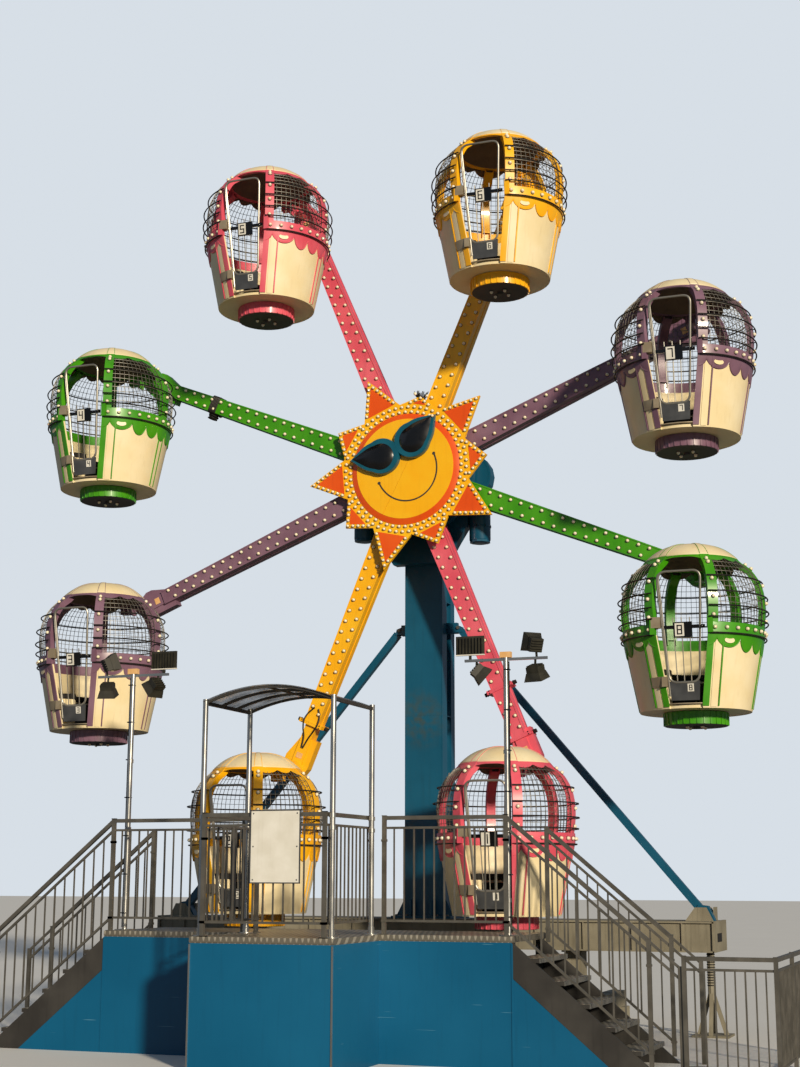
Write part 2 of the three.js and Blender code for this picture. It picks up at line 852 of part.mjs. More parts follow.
const hub = new THREE.Group();
hub.position.z = hubHeight;
addPiece("hub_ring", hubRing(), "towerBlue", hub);
addPiece("sun_face", sunFace(), "orange", hub);
wheel.add(hub);

addPiece("drive_head", driveHead(), "towerBlue");
addPiece("tower", tower(), "towerBlue");
addPiece("brace_left", sideBrace(-1), "towerBlue");
addPiece("brace_right", sideBrace(1), "towerBlue");
addPiece("base_frame", baseFrame(), "tan");
addPiece("deck", deck(), "deckPlate");
addPiece("deck_skirt", skirt(), "skirtBlue");
addPiece("stair_left", stair(-1), "darkPaint");
addPiece("stair_right", stair(1), "darkPaint");
addPiece("deck_rail_left", deckRail(-1), "steel");
addPiece("deck_rail_right", deckRail(1), "steel");
addPiece("stair_rail_left", backStairRail(-1), "steel");
addPiece("stair_rail_right", backStairRail(1), "steel");
addPiece("bay_rail", bayRail(), "steel");
addPiece("canopy", canopy(), "steel");
addPiece("lamp_mast_left", lampMast(-1), "steel");
addPiece("lamp_mast_right", lampMast(1), "steel");
addPiece("queue_fence", queueFence(), "steel");

export default wheel;
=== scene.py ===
import math

import bpy
import numpy as np
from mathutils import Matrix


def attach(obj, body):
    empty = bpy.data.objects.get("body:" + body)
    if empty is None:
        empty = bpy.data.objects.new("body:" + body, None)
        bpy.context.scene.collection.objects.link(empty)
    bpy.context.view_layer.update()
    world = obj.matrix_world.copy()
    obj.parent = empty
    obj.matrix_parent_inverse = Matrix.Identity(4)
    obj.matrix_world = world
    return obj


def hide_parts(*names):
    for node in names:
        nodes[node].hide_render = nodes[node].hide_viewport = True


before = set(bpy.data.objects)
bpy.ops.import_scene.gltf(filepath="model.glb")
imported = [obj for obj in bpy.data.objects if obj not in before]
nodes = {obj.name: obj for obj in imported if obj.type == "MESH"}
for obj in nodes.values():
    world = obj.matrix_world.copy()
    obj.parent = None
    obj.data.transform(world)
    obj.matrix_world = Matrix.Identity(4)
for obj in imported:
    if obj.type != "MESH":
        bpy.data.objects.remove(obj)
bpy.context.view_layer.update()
print("frame loaded:", len(nodes), "nodes")

# Shapes, each one arrays of points and faces

def gridFaces(rows, cols, wrapRows=False, wrapCols=False):
    r, c = np.meshgrid(
        np.arange(rows if wrapRows else rows - 1),
        np.arange(cols if wrapCols else cols - 1),
        indexing="ij",
    )
    r2, c2 = (r + 1) % rows, (c + 1) % cols
    return np.stack([r * cols + c, r2 * cols + c, r2 * cols + c2, r * cols + c2], -1).reshape(-1, 4)


def unit(v):
    return v / np.linalg.norm(v, axis=-1, keepdims=True)


def ringOf(radius, sides):  # (radius cos t, radius sin t)
    t = np.arange(sides) * 2 * np.pi / sides
    return np.stack([radius * np.cos(t), radius * np.sin(t)], -1)


def rectOf(wide, deep):
    return np.array([[-wide, -deep], [wide, -deep], [wide, deep], [-wide, deep]]) / 2


def capFaces(n, m):  # the two end faces of n rings of m points
    return [list(range(m)), list(range((n - 1) * m, n * m))[::-1]]


# A section carried along a path: point = path + u * side + v * up
def carried(path, section, side, up, closed=False):
    n, m = len(path), len(section)
    verts = path[:, None] + section[None, :, :1] * side[:, None] + section[None, :, 1:] * up[:, None]
    faces = gridFaces(n, m, wrapRows=closed, wrapCols=True).tolist()
    return verts.reshape(-1, 3), faces if closed else faces + capFaces(n, m)


# The same with its frame worked out: side = tangent x ref and up = side x tangent
def sweep(path, section, ref=(0, 0, 1), closed=False):
    path = np.asarray(path, float)
    if closed:
        tangent = unit(np.roll(path, -1, 0) - np.roll(path, 1, 0))
    else:
        tangent = unit(np.gradient(path, axis=0))
    side = unit(np.cross(tangent, np.broadcast_to(np.asarray(ref, float), path.shape)))
    return carried(path, section, side, np.cross(side, tangent), closed)


def flipped(faces):
    return [f[::-1] for f in faces]


# A straight bar between two points
def bar(a, b, section, ref=(0, 0, 1)):
    return sweep([a, b], section, ref)


def band(r0, r1, z0, z1):  # the profile of a flat ring
    return [(r0, z0), (r1, z0), (r1, z1), (r0, z1)]


# A turned shape: point = (r sin a, -r cos a, z), a counted from the door; a closed profile gives a ring
def lathe(profile, sides=64, start=0.0, span=360.0, closedProfile=False):
    profile = np.asarray(profile, float)
    full = span >= 360
    a = np.radians(start + np.arange(sides if full else sides + 1) * span / sides)[:, None]
    r, z = profile[None, :, 0], profile[None, :, 1]
    verts = np.stack(np.broadcast_arrays(np.sin(a) * r, -np.cos(a) * r, z), -1).reshape(-1, 3)
    faces = gridFaces(len(a), len(profile), wrapRows=full, wrapCols=closedProfile).tolist()
    if closedProfile and not full:
        faces += capFaces(len(a), len(profile))
    return poleClosed(verts, faces) if profile[:, 0].min() < 1e-6 else (verts, faces)


def poleClosed(verts, faces):  # points that fall together become one, and faces lose their doubled corners
    kept, index = np.unique(np.round(verts, 6), axis=0, return_inverse=True)
    index = index.ravel()
    trimmed = [list(dict.fromkeys(int(index[i]) for i in face)) for face in faces]
    return kept, [face for face in trimmed if len(face) > 2]


# Many boxes at once: corner = centre + sign * half size along each axis
def boxesAt(centres, halves, axes=None):
    centres = np.asarray(centres, float).reshape(-1, 3)
    halves = np.broadcast_to(np.asarray(halves, float), centres.shape)
    axes = np.broadcast_to(np.eye(3) if axes is None else np.asarray(axes, float), (len(centres), 3, 3))
    signs = np.array([[x, y, z] for z in (-1, 1) for y in (-1, 1) for x in (-1, 1)], float)
    verts = centres[:, None] + np.einsum("nks,nsd->nkd", signs[None] * halves[:, None], axes)
    one = np.array([[0, 2, 3, 1], [4, 5, 7, 6], [0, 1, 5, 4], [2, 6, 7, 3], [0, 4, 6, 2], [1, 3, 7, 5]])
    return verts.reshape(-1, 3), repeated(one, 8, len(centres))


def repeated(faces, points, count):  # one shape's faces for each of its copies
    faces = np.asarray(faces)
    return (faces[None] + points * np.arange(count)[:, None, None]).reshape(-1, faces.shape[1]).tolist()


def box(x0, x1, y0, y1, z0, z1):
    low, high = np.array([x0, y0, z0]), np.array([x1, y1, z1])
    return boxesAt((low + high) / 2, (high - low) / 2)


def sideBox(side, x0, x1, *rest):  # a box at the left (-1) or the right (1)
    return box(*sorted((side * x0, side * x1)), *rest)


# Many caps at once, each a short wall and a dome along a normal: radius r cos t, height s + (h - s) sin t
def capsAt(centres, normals, radius, height, skirt=0.0, sides=8, rings=3):
    centres = np.asarray(centres, float).reshape(-1, 3)
    normals = unit(np.broadcast_to(np.asarray(normals, float), centres.shape))
    helper = np.where(np.abs(normals[:, 2:]) > 0.9, [[1.0, 0, 0]], [[0, 0, 1.0]])
    t1 = unit(np.cross(normals, helper))
    t2 = np.cross(normals, t1)
    lift = np.linspace(0, np.pi / 2, rings + 1)[:-1]
    radii = np.concatenate([[radius], radius * np.cos(lift)])[None, :, None, None]
    heights = np.concatenate([[0.0], skirt + (height - skirt) * np.sin(lift)])[None, :, None, None]
    a = np.arange(sides) * 2 * np.pi / sides
    c, s = np.cos(a)[None, None, :, None], np.sin(a)[None, None, :, None]
    at, out, t1, t2 = (v[:, None, None] for v in (centres, normals, t1, t2))
    body = at + radii * (c * t1 + s * t2) + heights * out
    verts = np.concatenate([body.reshape(len(centres), -1, 3), (centres + height * normals)[:, None]], 1)
    last, count = rings * sides, (rings + 1) * sides + 1
    quads = gridFaces(rings + 1, sides, wrapCols=True)[:, ::-1]
    fan = [[last + i, last + (i + 1) % sides, last + sides] for i in range(sides)]
    faces = []
    for one in (quads, fan, [list(range(sides))[::-1]]):
        faces += repeated(one, count, len(centres))
    return verts.reshape(-1, 3), faces


def boltHeads(centres, way, radius, height, chamfer=0.002):
    return capsAt(centres, way, radius, height, height - chamfer, 6, 1)


def lamps(centres, ways, radius, height=0.034):  # turbo lamp caps
    return capsAt(centres, ways, radius, height, 0.014, 10)


def gaskets(centres, ways, radius, height):  # the dark washers under them, a fifth wider
    return capsAt(centres, ways, radius * 1.2, height, height - 0.002, 10, 1)


# A flat outline given as (across, up) points, made a slab from depth d0 to d1 along the third axis
def slab(outline, d0, d1, across=(1, 0, 0), up=(0, 0, 1), origin=(0, 0, 0)):
    outline = np.asarray(outline, float)
    across, up, origin = (np.asarray(v, float) for v in (across, up, origin))
    out = np.cross(across, up)
    flat = origin + outline[:, :1] * across + outline[:, 1:] * up
    n = len(outline)
    area = np.sum(outline[:, 0] * np.roll(outline[:, 1], -1) - np.roll(outline[:, 0], -1) * outline[:, 1])
    verts = np.concatenate([flat + d0 * out, flat + d1 * out])
    faces = [list(range(n))[::-1], list(range(n, 2 * n))]
    faces += [[i, (i + 1) % n, n + (i + 1) % n, n + i] for i in range(n)]
    return verts, faces if (area > 0) == (d1 > d0) else flipped(faces)


alongY = np.array([[1, 0, 0], [0, 0, -1], [0, 1, 0]])  # lays an upright turned shape along +Y


def lying(profile, centre, sides=48):  # a turned ring along +Y, so that its profile's heights are y
    verts, faces = lathe(profile, sides, closedProfile=True)
    return verts @ alongY + np.asarray(centre, float), faces


def upright(profile, centre, sides=20):  # a turned ring or post that stands at a point
    verts, faces = lathe(profile, sides, closedProfile=True)
    return verts + np.asarray(centre, float), faces


def post(x, y, half, z0, z1):  # a square post
    return box(x - half, x + half, y - half, y + half, z0, z1)


def shifted(parts, offset):
    return [(v + np.asarray(offset, float), f) for v, f in parts]


def turnedAboutY(parts, degrees, offset=(0, 0, 0)):  # clockwise seen from the front
    c, s = math.cos(math.radians(degrees)), math.sin(math.radians(degrees))
    turn = np.array([[c, 0, s], [0, 1, 0], [-s, 0, c]])
    return [(v @ turn.T + np.asarray(offset, float), f) for v, f in parts]


def smoothPath(points, steps=8):  # a Catmull-Rom curve through the points
    p = np.asarray(points, float)
    p = np.concatenate([[2 * p[0] - p[1]], p, [2 * p[-1] - p[-2]]])
    t = np.linspace(0, 1, steps, endpoint=False)[None, :, None]
    a, b, c, d = (p[i : len(p) - 3 + i][:, None] for i in range(4))
    curve = 0.5 * (2 * b + (c - a) * t + (2 * a - 5 * b + 4 * c - d) * t**2 + (3 * b - a - 3 * c + d) * t**3)
    return np.concatenate([curve.reshape(-1, p.shape[1]), p[-2:-1]])


def addPiece(name, parts, material, body, sharp=35, replaced=()):
    verts, faces, count = [], [], 0
    for v, f in parts:
        verts.append(v)
        faces += [[i + count for i in face] for face in f]
        count += len(v)
    mesh = bpy.data.meshes.new(name)
    mesh.from_pydata(np.concatenate(verts).tolist(), [], faces)
    mesh.polygons.foreach_set("use_smooth", np.ones(len(mesh.polygons), bool))
    mesh.set_sharp_from_angle(angle=math.radians(sharp))
    mesh.materials.append(material)
    mesh.update()
    piece = bpy.data.objects.new(name, mesh)
    bpy.context.scene.collection.objects.link(piece)
    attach(piece, body)
    if replaced:
        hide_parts(*replaced)
    return piece


# Materials

def linear(hexColour):
    srgb = [int(hexColour[i : i + 2], 16) / 255 for i in (1, 3, 5)]
    return tuple(c / 12.92 if c <= 0.04045 else ((c + 0.055) / 1.055) ** 2.4 for c in srgb) + (1.0,)


# Adds a node: an input takes a number, a colour, a socket, or a node, whose first output in use is linked
def addNode(tree, kind, inputs=None, **settings):
    made = tree.nodes.new(kind)
    for key, value in settings.items():
        setattr(made, key, value)
    for key, value in (inputs or {}).items():
        if isinstance(key, str):
            socket = next(s for s in made.inputs if s.enabled and s.name == key)
        else:
            socket = made.inputs[key]
        if isinstance(value, bpy.types.Node):
            value = next(s for s in value.outputs if s.enabled)
        if isinstance(value, bpy.types.NodeSocket):
            tree.links.new(value, socket)
        else:
            socket.default_value = value
    return made


def newMaterial(name):
    material = bpy.data.materials.new(name)
    material.use_nodes = True
    tree = material.node_tree
    tree.nodes.clear()
    return material, tree, addNode(tree, "ShaderNodeTexCoord").outputs["Object"]


def finished(material, tree, inputs):  # the shader that the pattern feeds
    shader = addNode(tree, "ShaderNodeBsdfPrincipled", inputs)
    addNode(tree, "ShaderNodeOutputMaterial", {"Surface": shader})
    return material


# Paint, gelcoat or worn metal: cloudy fading, rain streaks that run down, and a fine orange peel
usualCoat = {"cloud": 2.5, "dirt": 0.25, "peel": 90.0, "bump": 0.06, "metal": 0.0, "coat": 0.0}


def coated(name, fresh, faded, grime, rough, scratch=None, stain=None, **own):
    spec = {**usualCoat, **own}
    material, tree, place = newMaterial(name)
    cloud = addNode(tree, "ShaderNodeTexNoise", {"Vector": place, "Scale": spec["cloud"], "Detail": 4.0})
    fade = addNode(tree, "ShaderNodeMapRange", {"Value": cloud, "From Min": 0.38, "From Max": 0.72})
    long = addNode(tree, "ShaderNodeMapping", {"Vector": place, "Scale": (26.0, 26.0, 1.6)})
    streak = addNode(tree, "ShaderNodeTexNoise", {"Vector": long, "Scale": 1.0, "Detail": 3.0})
    limits = {"Value": streak, "From Min": 0.55, "From Max": 0.85, "To Max": spec["dirt"]}
    layers = [(fade, faded), (addNode(tree, "ShaderNodeMapRange", limits), grime)]
    if scratch:
        aslant = {"Vector": place, "Scale": (2.2, 2.2, 70.0), "Rotation": (0.0, 0.12, 0.0)}
        thin = addNode(tree, "ShaderNodeMapping", aslant)
        line = addNode(tree, "ShaderNodeTexNoise", {"Vector": thin, "Scale": 1.0, "Detail": 1.0})
        cut = addNode(tree, "ShaderNodeMapRange", {"Value": line, "From Min": 0.77, "From Max": 0.8})
        layers.append((cut, scratch))
    if stain:  # a blotch round one point, broken up by noise
        off = addNode(tree, "ShaderNodeVectorMath", {0: place, 1: stain["centre"]}, operation="DISTANCE")
        limits = {"Value": off, "From Min": stain["reach"], "From Max": 0.0}
        near = addNode(tree, "ShaderNodeMapRange", limits)
        blotch = addNode(tree, "ShaderNodeTexNoise", {"Vector": place, "Scale": 11.0, "Detail": 5.0})
        patchy = addNode(tree, "ShaderNodeMapRange", {"Value": blotch, "From Min": 0.36, "From Max": 0.62})
        share = addNode(tree, "ShaderNodeMath", {0: near, 1: patchy}, operation="MULTIPLY")
        layers.append((share, stain["colour"]))
    colour = linear(fresh)
    for share, tone in layers:
        mixed = {"Factor": share, "A": colour, "B": linear(tone)}
        colour = addNode(tree, "ShaderNodeMix", mixed, data_type="RGBA")
    limits = {"Value": cloud, "From Min": 0.3, "From Max": 0.7}
    limits |= {"To Min": rough - 0.05, "To Max": rough + 0.08}
    peel = addNode(tree, "ShaderNodeTexNoise", {"Vector": place, "Scale": spec["peel"], "Detail": 2.0})
    relief = {"Height": peel, "Strength": spec["bump"], "Distance": 0.002}
    inputs = {
        "Base Color": colour,
        "Roughness": addNode(tree, "ShaderNodeMapRange", limits),
        "Normal": addNode(tree, "ShaderNodeBump", relief),
        "Metallic": spec["metal"],
        "Coat Weight": spec["coat"],
        "Coat Roughness": 0.12,
    }
    return finished(material, tree, inputs)


# Enamel on steel has a wet gloss with a little orange peel; its tones are fresh, sun-faded and grimed
paints = {
    "yellow": ("#FDB608", "#FFC41C", "#A87412"),
    "purple": ("#775669", "#8C6C80", "#3A2833"),
    "green": ("#3A9006", "#4DA40E", "#22500A"),
    "pink": ("#DE5468", "#EC6C7C", "#84343F"),
    "orange": ("#E65206", "#EE5E0C", "#8A2E08"),
    "sunYellow": ("#FEB806", "#FFC414", "#C6860E"),
    "towerBlue": ("#094F6C", "#0C5C7C", "#082834"),
    "skirtBlue": ("#045A82", "#06648E", "#06405E"),
}
paintMarks = {
    "towerBlue": {
        "cloud": 1.2,
        "stain": {"centre": (-0.06, -0.32, 3.85), "reach": 0.45, "colour": "#3F4B44"},
    },
    "skirtBlue": {"cloud": 0.7, "scratch": "#5A92AE"},
}
enamel = {}
for name, tones in paints.items():
    marks = paintMarks.get(name, {})
    enamel[name] = coated(name + "EnamelOnSteel", *tones, 0.36, coat=0.22, dirt=0.22, **marks)
# Gelcoat on glass fibre: cream, softly glossy, a little chalky where rain runs
creamGelcoat = coated("creamGelcoat", "#F0DDAE", "#F7E9C4", "#A8946A", 0.4, coat=0.15, dirt=0.2)
# Cream moulding inside the roof, coloured dark brown as painted shade, with streaks of dirt over it
paintedShadeLining = coated("roofLiningPaintedShade", "#64554A", "#766656", "#3A3028", 0.6, dirt=0.5, cloud=4.0)
# Rubber floor mat, flat black with dust; the same black on the bench's front is painted shade below the seat
blackMatAndPaintedShade = coated("blackRubberMatAndPaintedShade", "#1C1A18", "#2A2724", "#4A443C", 0.8, dirt=0.3, cloud=8.0)
# Oil-based machine paint on rough plate: flat, dusty tan
tanPaint = coated("tanMachinePaint", "#7D7766", "#938D7B", "#474236", 0.62, dirt=0.6, bump=0.2, peel=45.0)
# Machine paint on cast iron: nearly black, chalky where it is handled
darkPaint = coated("darkMachinePaint", "#33312F", "#43413E", "#1E1C1A", 0.55, dirt=0.4, bump=0.15)
# Black oxide rod: dark, dry, with dusty flecks
darkWire = coated("blackOxideSteel", "#201E1C", "#312D2A", "#554C42", 0.5, metal=0.3, cloud=9.0)
# Zinc-dipped wire gone dull grey
dullWire = coated("dullZincWire", "#6E6B64", "#8A867E", "#4A4640", 0.45, metal=0.4, cloud=9.0)
# Hot-dip galvanised tube: grey zinc with cloudy patches
galvanised = coated(
    "galvanisedTube", "#6C6962", "#807C74", "#45413B", 0.38, metal=0.55, cloud=6.0, dirt=0.15
)
# Stainless tube: bright and smooth, mirrors its surroundings softly
brightAlloy = coated(
    "polishedAlloyTube", "#C4C3BE", "#D2D1CC", "#8E8B84", 0.26, metal=0.9, cloud=3.0, dirt=0.12
)
# Anodised tube of the doors: satin, greyer than the posts, as handling has dulled it
doorAlloy = coated(
    "anodisedDoorTube", "#9C988E", "#ACA89E", "#6A665E", 0.36, metal=0.7, cloud=3.0, dirt=0.12
)
# Yellow-passivated zinc: warm grey-tan, flat, darker where grease collects
hingeZinc = coated("passivatedZincHinge", "#9A8B74", "#ABA08A", "#5E5242", 0.46, metal=0.35, cloud=6.0)
# Brushed aluminium sheet: mid grey, a soft sheen broken by scuffs
greyPlate = coated("brushedGreyPlate", "#56585B", "#67696C", "#3C3A38", 0.42, metal=0.5, cloud=6.0)
# Injection moulded nylon: deep black with a clean gloss and dust in the corners
blackNylon = coated(
    "blackMouldedPlastic", "#08080A", "#101012", "#26231F", 0.24, coat=0.4, dirt=0.12, cloud=5.0
)
# Cast lamp housings: weathered olive black
lampHousing = coated("oliveCastHousing", "#26251E", "#38362C", "#4E4A3C", 0.55, dirt=0.4, cloud=9.0)
# Reflector strip: pale amber acrylic, sun-bleached at the edges
amberAcrylic = coated("amberPlastic", "#E4B070", "#F0C48C", "#8A6A44", 0.4, cloud=9.0, dirt=0.15)
# Vacuum-formed plastic: teal, smooth and glossy, so that the sun draws a line along its rims
tealMoulding = coated("tealMouldedPlastic", "#0D546A", "#116078", "#083040", 0.26, coat=0.3, cloud=4.0)
# Stove-enamelled plate: off-white, half matt, yellowed by weather
whitePlate = coated("whiteEnamelPlate", "#E4E1D6", "#F0EEE6", "#A8A296", 0.4, cloud=6.0, dirt=0.15)


# Turbo lamp caps are moulded opal plastic: warm cream, soft inside, a clear gloss on top
def opalCap():
    material, tree, place = newMaterial("opalLampCap")
    tone = addNode(tree, "ShaderNodeTexNoise", {"Vector": place, "Scale": 7.0, "Detail": 1.0})
    cream = {"Factor": tone, "A": linear("#F2E2BC"), "B": linear("#FFF6E0")}
    inputs = {
        "Base Color": addNode(tree, "ShaderNodeMix", cream, data_type="RGBA"),
        "Roughness": 0.22,
        "Subsurface Weight": 0.15,
        "Subsurface Scale": 0.01,
        "Coat Weight": 0.5,
    }
    return finished(material, tree, inputs)


# Chequer plate: rolled alloy with raised lozenges in crossed rows, drawn at 44 mm so that they show
# from the ground; the rows are tipped by 45 degrees, so that they cross both the floor and the edges
def chequerPlate():
    material, tree, place = newMaterial("rolledChequerPlate")
    pitch = 1 / 0.044
    tipped = addNode(tree, "ShaderNodeMapping", {"Vector": place, "Rotation": (math.radians(45), 0, 0)})
    rows = []
    for angle in (45, -45):
        laid = {"Vector": tipped, "Rotation": (0, 0, math.radians(angle)), "Scale": (pitch, pitch * 0.45, 0)}
        across = addNode(tree, "ShaderNodeMapping", laid)
        cells = {"Vector": across, "Scale": 1.0, "Randomness": 0.0}
        rows.append(addNode(tree, "ShaderNodeTexVoronoi", cells))
    low = addNode(tree, "ShaderNodeMath", {0: rows[0], 1: rows[1]}, operation="MINIMUM")
    limits = {"Value": low, "From Min": 0.22, "From Max": 0.34, "To Min": 1.0, "To Max": 0.0}
    lozenge = addNode(tree, "ShaderNodeMapRange", limits)
    wear = addNode(tree, "ShaderNodeTexNoise", {"Vector": place, "Scale": 3.0, "Detail": 5.0})
    tones = {"Factor": wear, "A": linear("#6A665C"), "B": linear("#8E887C")}
    worn = addNode(tree, "ShaderNodeMix", tones, data_type="RGBA")
    tones = {"Factor": lozenge, "A": worn, "B": linear("#B6B0A2")}
    inputs = {
        "Base Color": addNode(tree, "ShaderNodeMix", tones, data_type="RGBA"),
        "Normal": addNode(tree, "ShaderNodeBump", {"Height": lozenge, "Strength": 0.6, "Distance": 0.003}),
        "Metallic": 0.4,
        "Roughness": 0.45,
    }
    return finished(material, tree, inputs)


# Smoked polycarbonate sheet: dark grey, half clear, hazed unevenly by weather
def smokedSheet():
    material, tree, place = newMaterial("smokedPolycarbonate")
    haze = addNode(tree, "ShaderNodeTexNoise", {"Vector": place, "Scale": 4.0, "Detail": 4.0})
    tones = {"Factor": haze, "A": linear("#46443F"), "B": linear("#726E66")}
    limits = {"Value": haze, "From Min": 0.3, "From Max": 0.7, "To Min": 0.4, "To Max": 0.75}
    inputs = {
        "Base Color": addNode(tree, "ShaderNodeMix", tones, data_type="RGBA"),
        "Alpha": addNode(tree, "ShaderNodeMapRange", limits),
        "Roughness": 0.2,
    }
    return finished(material, tree, inputs)


lampCap, deckPlate, smoked = opalCap(), chequerPlate(), smokedSheet()
print("materials made")

# The wheel's own sizes; the arms are numbered clockwise from the upper right

wheel = {"hub": 7.03, "pivot": 4.135, "firstArm": 22.5, "armStep": 45, "cabFront": -1.91}
wheelHub = np.array([0.0, 0.0, wheel["hub"]])
colours = ["yellow", "purple", "green", "pink"] * 2


def armTurn(number):  # degrees from upright
    return wheel["firstArm"] + wheel["armStep"] * (number - 1)


# The cab, worked out once in its own place: floor centre at the origin, door towards -Y

cab = {
    "floorRadius": 0.621,
    "topRadius": 0.778,
    "height": 0.8,
    "wall": 0.03,
    "sill": 0.045,
    "sillHalf": 0.185,
    "beltHalf": 0.289,
    "ribAngles": (26, 90, 150, 210, 270, 334),
    "ribLine": ((0.788, 0.86), (0.817, 1.15), (0.787, 1.39), (0.69, 1.575), (0.578, 1.67), (0.531, 1.722)),
    "hoops": ((0.836, 0.975), (0.845, 1.1), (0.839, 1.26), (0.79, 1.44)),
    "meshCell": 0.06,
    "bulb": 0.021,
    "lobes": 17,
    "crown": 1.7165,
    "pivot": 1.79,
    "domeRadius": 0.526,
    "domeTop": 1.917,
    "domeRise": 0.19,
}
ribRadius, ribHeight = smoothPath(cab["ribLine"], 5).T


def radiusAt(z):  # outer wall radius of the tub
    return cab["floorRadius"] + (cab["topRadius"] - cab["floorRadius"]) * z / cab["height"]


def doorAngle(z, extra=0.0):  # half angle of the doorway, in degrees
    low = cab["sill"]
    half = cab["sillHalf"] + (cab["beltHalf"] - cab["sillHalf"]) * (z - low) / (cab["height"] - low)
    return np.degrees(np.arcsin((half + extra) / radiusAt(z)))


def around(angle, radius, z):  # a point at an angle from the door
    a = np.radians(angle)
    return np.stack(np.broadcast_arrays(radius * np.sin(a), -radius * np.cos(a), z), -1)


def outward(angle):  # the level direction away from the cab's middle
    return around(angle, 1.0, 0.0)


def nearestRib(angle):  # degrees to the nearest rib
    gaps = (np.asarray(angle)[..., None] - np.array(cab["ribAngles"]) + 180) % 360 - 180
    return np.min(np.abs(gaps), -1)


# A closed shell from an outer and an inner grid of points, each with one row per angle
def shell(outer, inner, wrapped=False):
    loop = np.concatenate([outer, inner[:, ::-1]], 1)
    n, m = loop.shape[:2]
    faces = gridFaces(n, m, wrapRows=wrapped, wrapCols=True).tolist()
    if not wrapped:
        ends = [[i, i + 1, m - 2 - i, m - 1 - i] for i in range(m // 2 - 1)]
        faces += ends + flipped([[(n - 1) * m + i for i in face] for face in ends])
    return loop.reshape(-1, 3), faces


# A skin on the tub's wall between two angle limits that change with height
def wallSkin(angleFrom, angleTo, z, out, inn, columns):
    share = np.linspace(0, 1, columns)[:, None]
    a0, a1 = np.broadcast_to(angleFrom, z.shape), np.broadcast_to(angleTo, z.shape)
    angle = a0[None] + share * (a1 - a0)[None]
    radius = radiusAt(z)[None]
    return shell(around(angle, radius + out, z[None]), around(angle, radius + inn, z[None]))


def tubParts():  # wall, floor, bench and the wall's rim
    z = np.linspace(0.0, cab["height"], 10)
    jamb = doorAngle(np.clip(z, cab["sill"], None))
    wall = wallSkin(jamb, 360 - jamb, z, 0.0, -cab["wall"], 97)
    floor = lathe(band(0, 0.6, 0.002, 0.04), 96)
    bench = [(0.33, 0.04), (0.6, 0.04), (0.66, 0.385), (0.65, 0.4), (0.345, 0.4), (0.33, 0.385)]
    rim = [(0.765, 0.796), (0.782, 0.79), (0.782, 0.799), (0.746, 0.799), (0.746, 0.79)]
    return [wall, floor, lathe(bench, 72, 40, 280, True), lathe(rim, 96, 23, 314, True)]


def matParts():  # rubber floor mat, the bench's front painted black as shade, and its seat pad
    mat = lathe(band(0, 0.585, 0.0395, 0.046), 72)
    front = lathe(band(0.322, 0.331, 0.046, 0.37), 72, 40, 280, True)
    pad = [(0.33, 0.399), (0.655, 0.399), (0.665, 0.44), (0.655, 0.465), (0.345, 0.47)]
    pad += [(0.325, 0.455), (0.322, 0.41)]
    return [mat, front, lathe(pad, 72, 41, 278, True)]


def lobe(depth, off):  # half an ellipse, from off = -1 to 1, below a straight edge
    return 0.03 + depth * np.sqrt(np.clip(1 - off**2, 0, 1))


# Lower edge of the painted skirt below the belt: half lobe at the jamb, a wide lobe, then narrow deep ones
def skirtDrop(angle):
    turn = np.where(angle > 180, 360 - angle, angle)
    half = lobe(0.115, (turn - 19.5) / 9.8)
    wide = lobe(0.125, (turn - 40) / 11.2)
    phase = ((angle - 51) / (258 / cab["lobes"])) % 1
    narrow = lobe(0.165, 2 * phase - 1)
    return np.where(turn < 29, half, np.where(turn < 51, wide, narrow))


def skirtParts():  # the painted skirt and the raised bead along its lobes
    angle = np.linspace(22.3, 337.7, 760)[:, None]
    share = np.array([0.0, 0.25, 0.5, 0.8, 0.95, 1.0])[None]
    bulge = np.array([0.012, 0.012, 0.011, 0.010, 0.008, 0.001])[None]
    z = cab["height"] - skirtDrop(angle) * share
    verts, faces = shell(around(angle, radiusAt(z) + bulge, z), around(angle, radiusAt(z) + 0.0005, z))
    turn = angle[:, 0]
    edge = cab["height"] - skirtDrop(turn) + 0.008
    bead = sweep(around(turn, radiusAt(edge) + 0.009, edge), ringOf(0.0055, 5), outward(turn))
    return [(verts, flipped(faces)), bead]


def bothSides(near, far, z, out):  # the same skin at each side of the doorway
    z0 = np.clip(z, cab["sill"], None)
    a0, a1 = doorAngle(z0, near), doorAngle(z0, far)
    return [wallSkin(a0, a1, z, out, -0.002, 6), wallSkin(360 - a1, 360 - a0, z, out, -0.002, 6)]


def jambParts():  # painted strip at the doorway, and a slim painted bead further out
    z = np.linspace(0.02, 0.8, 12)
    return bothSides(-0.004, 0.062, z, 0.010) + bothSides(0.150, 0.162, z, 0.014)


def creamStripParts():  # raised cream pilaster between jamb and bead
    return bothSides(0.078, 0.138, np.linspace(0.012, 0.79, 10), 0.007)


def seamBeads():  # two painted beads at each side of the tub, where its halves are bolted together
    z = np.linspace(0.02, 0.7, 10)
    return [wallSkin(a - 0.5, a + 0.5, z, 0.012, -0.002, 4) for a in (86.5, 93.5, 266.5, 273.5)]


def seamStrips():  # the raised cream strip between each pair of beads
    z = np.linspace(0.012, 0.72, 10)
    return [wallSkin(a - 2.6, a + 2.6, z, 0.007, -0.002, 8) for a in (90, 270)]


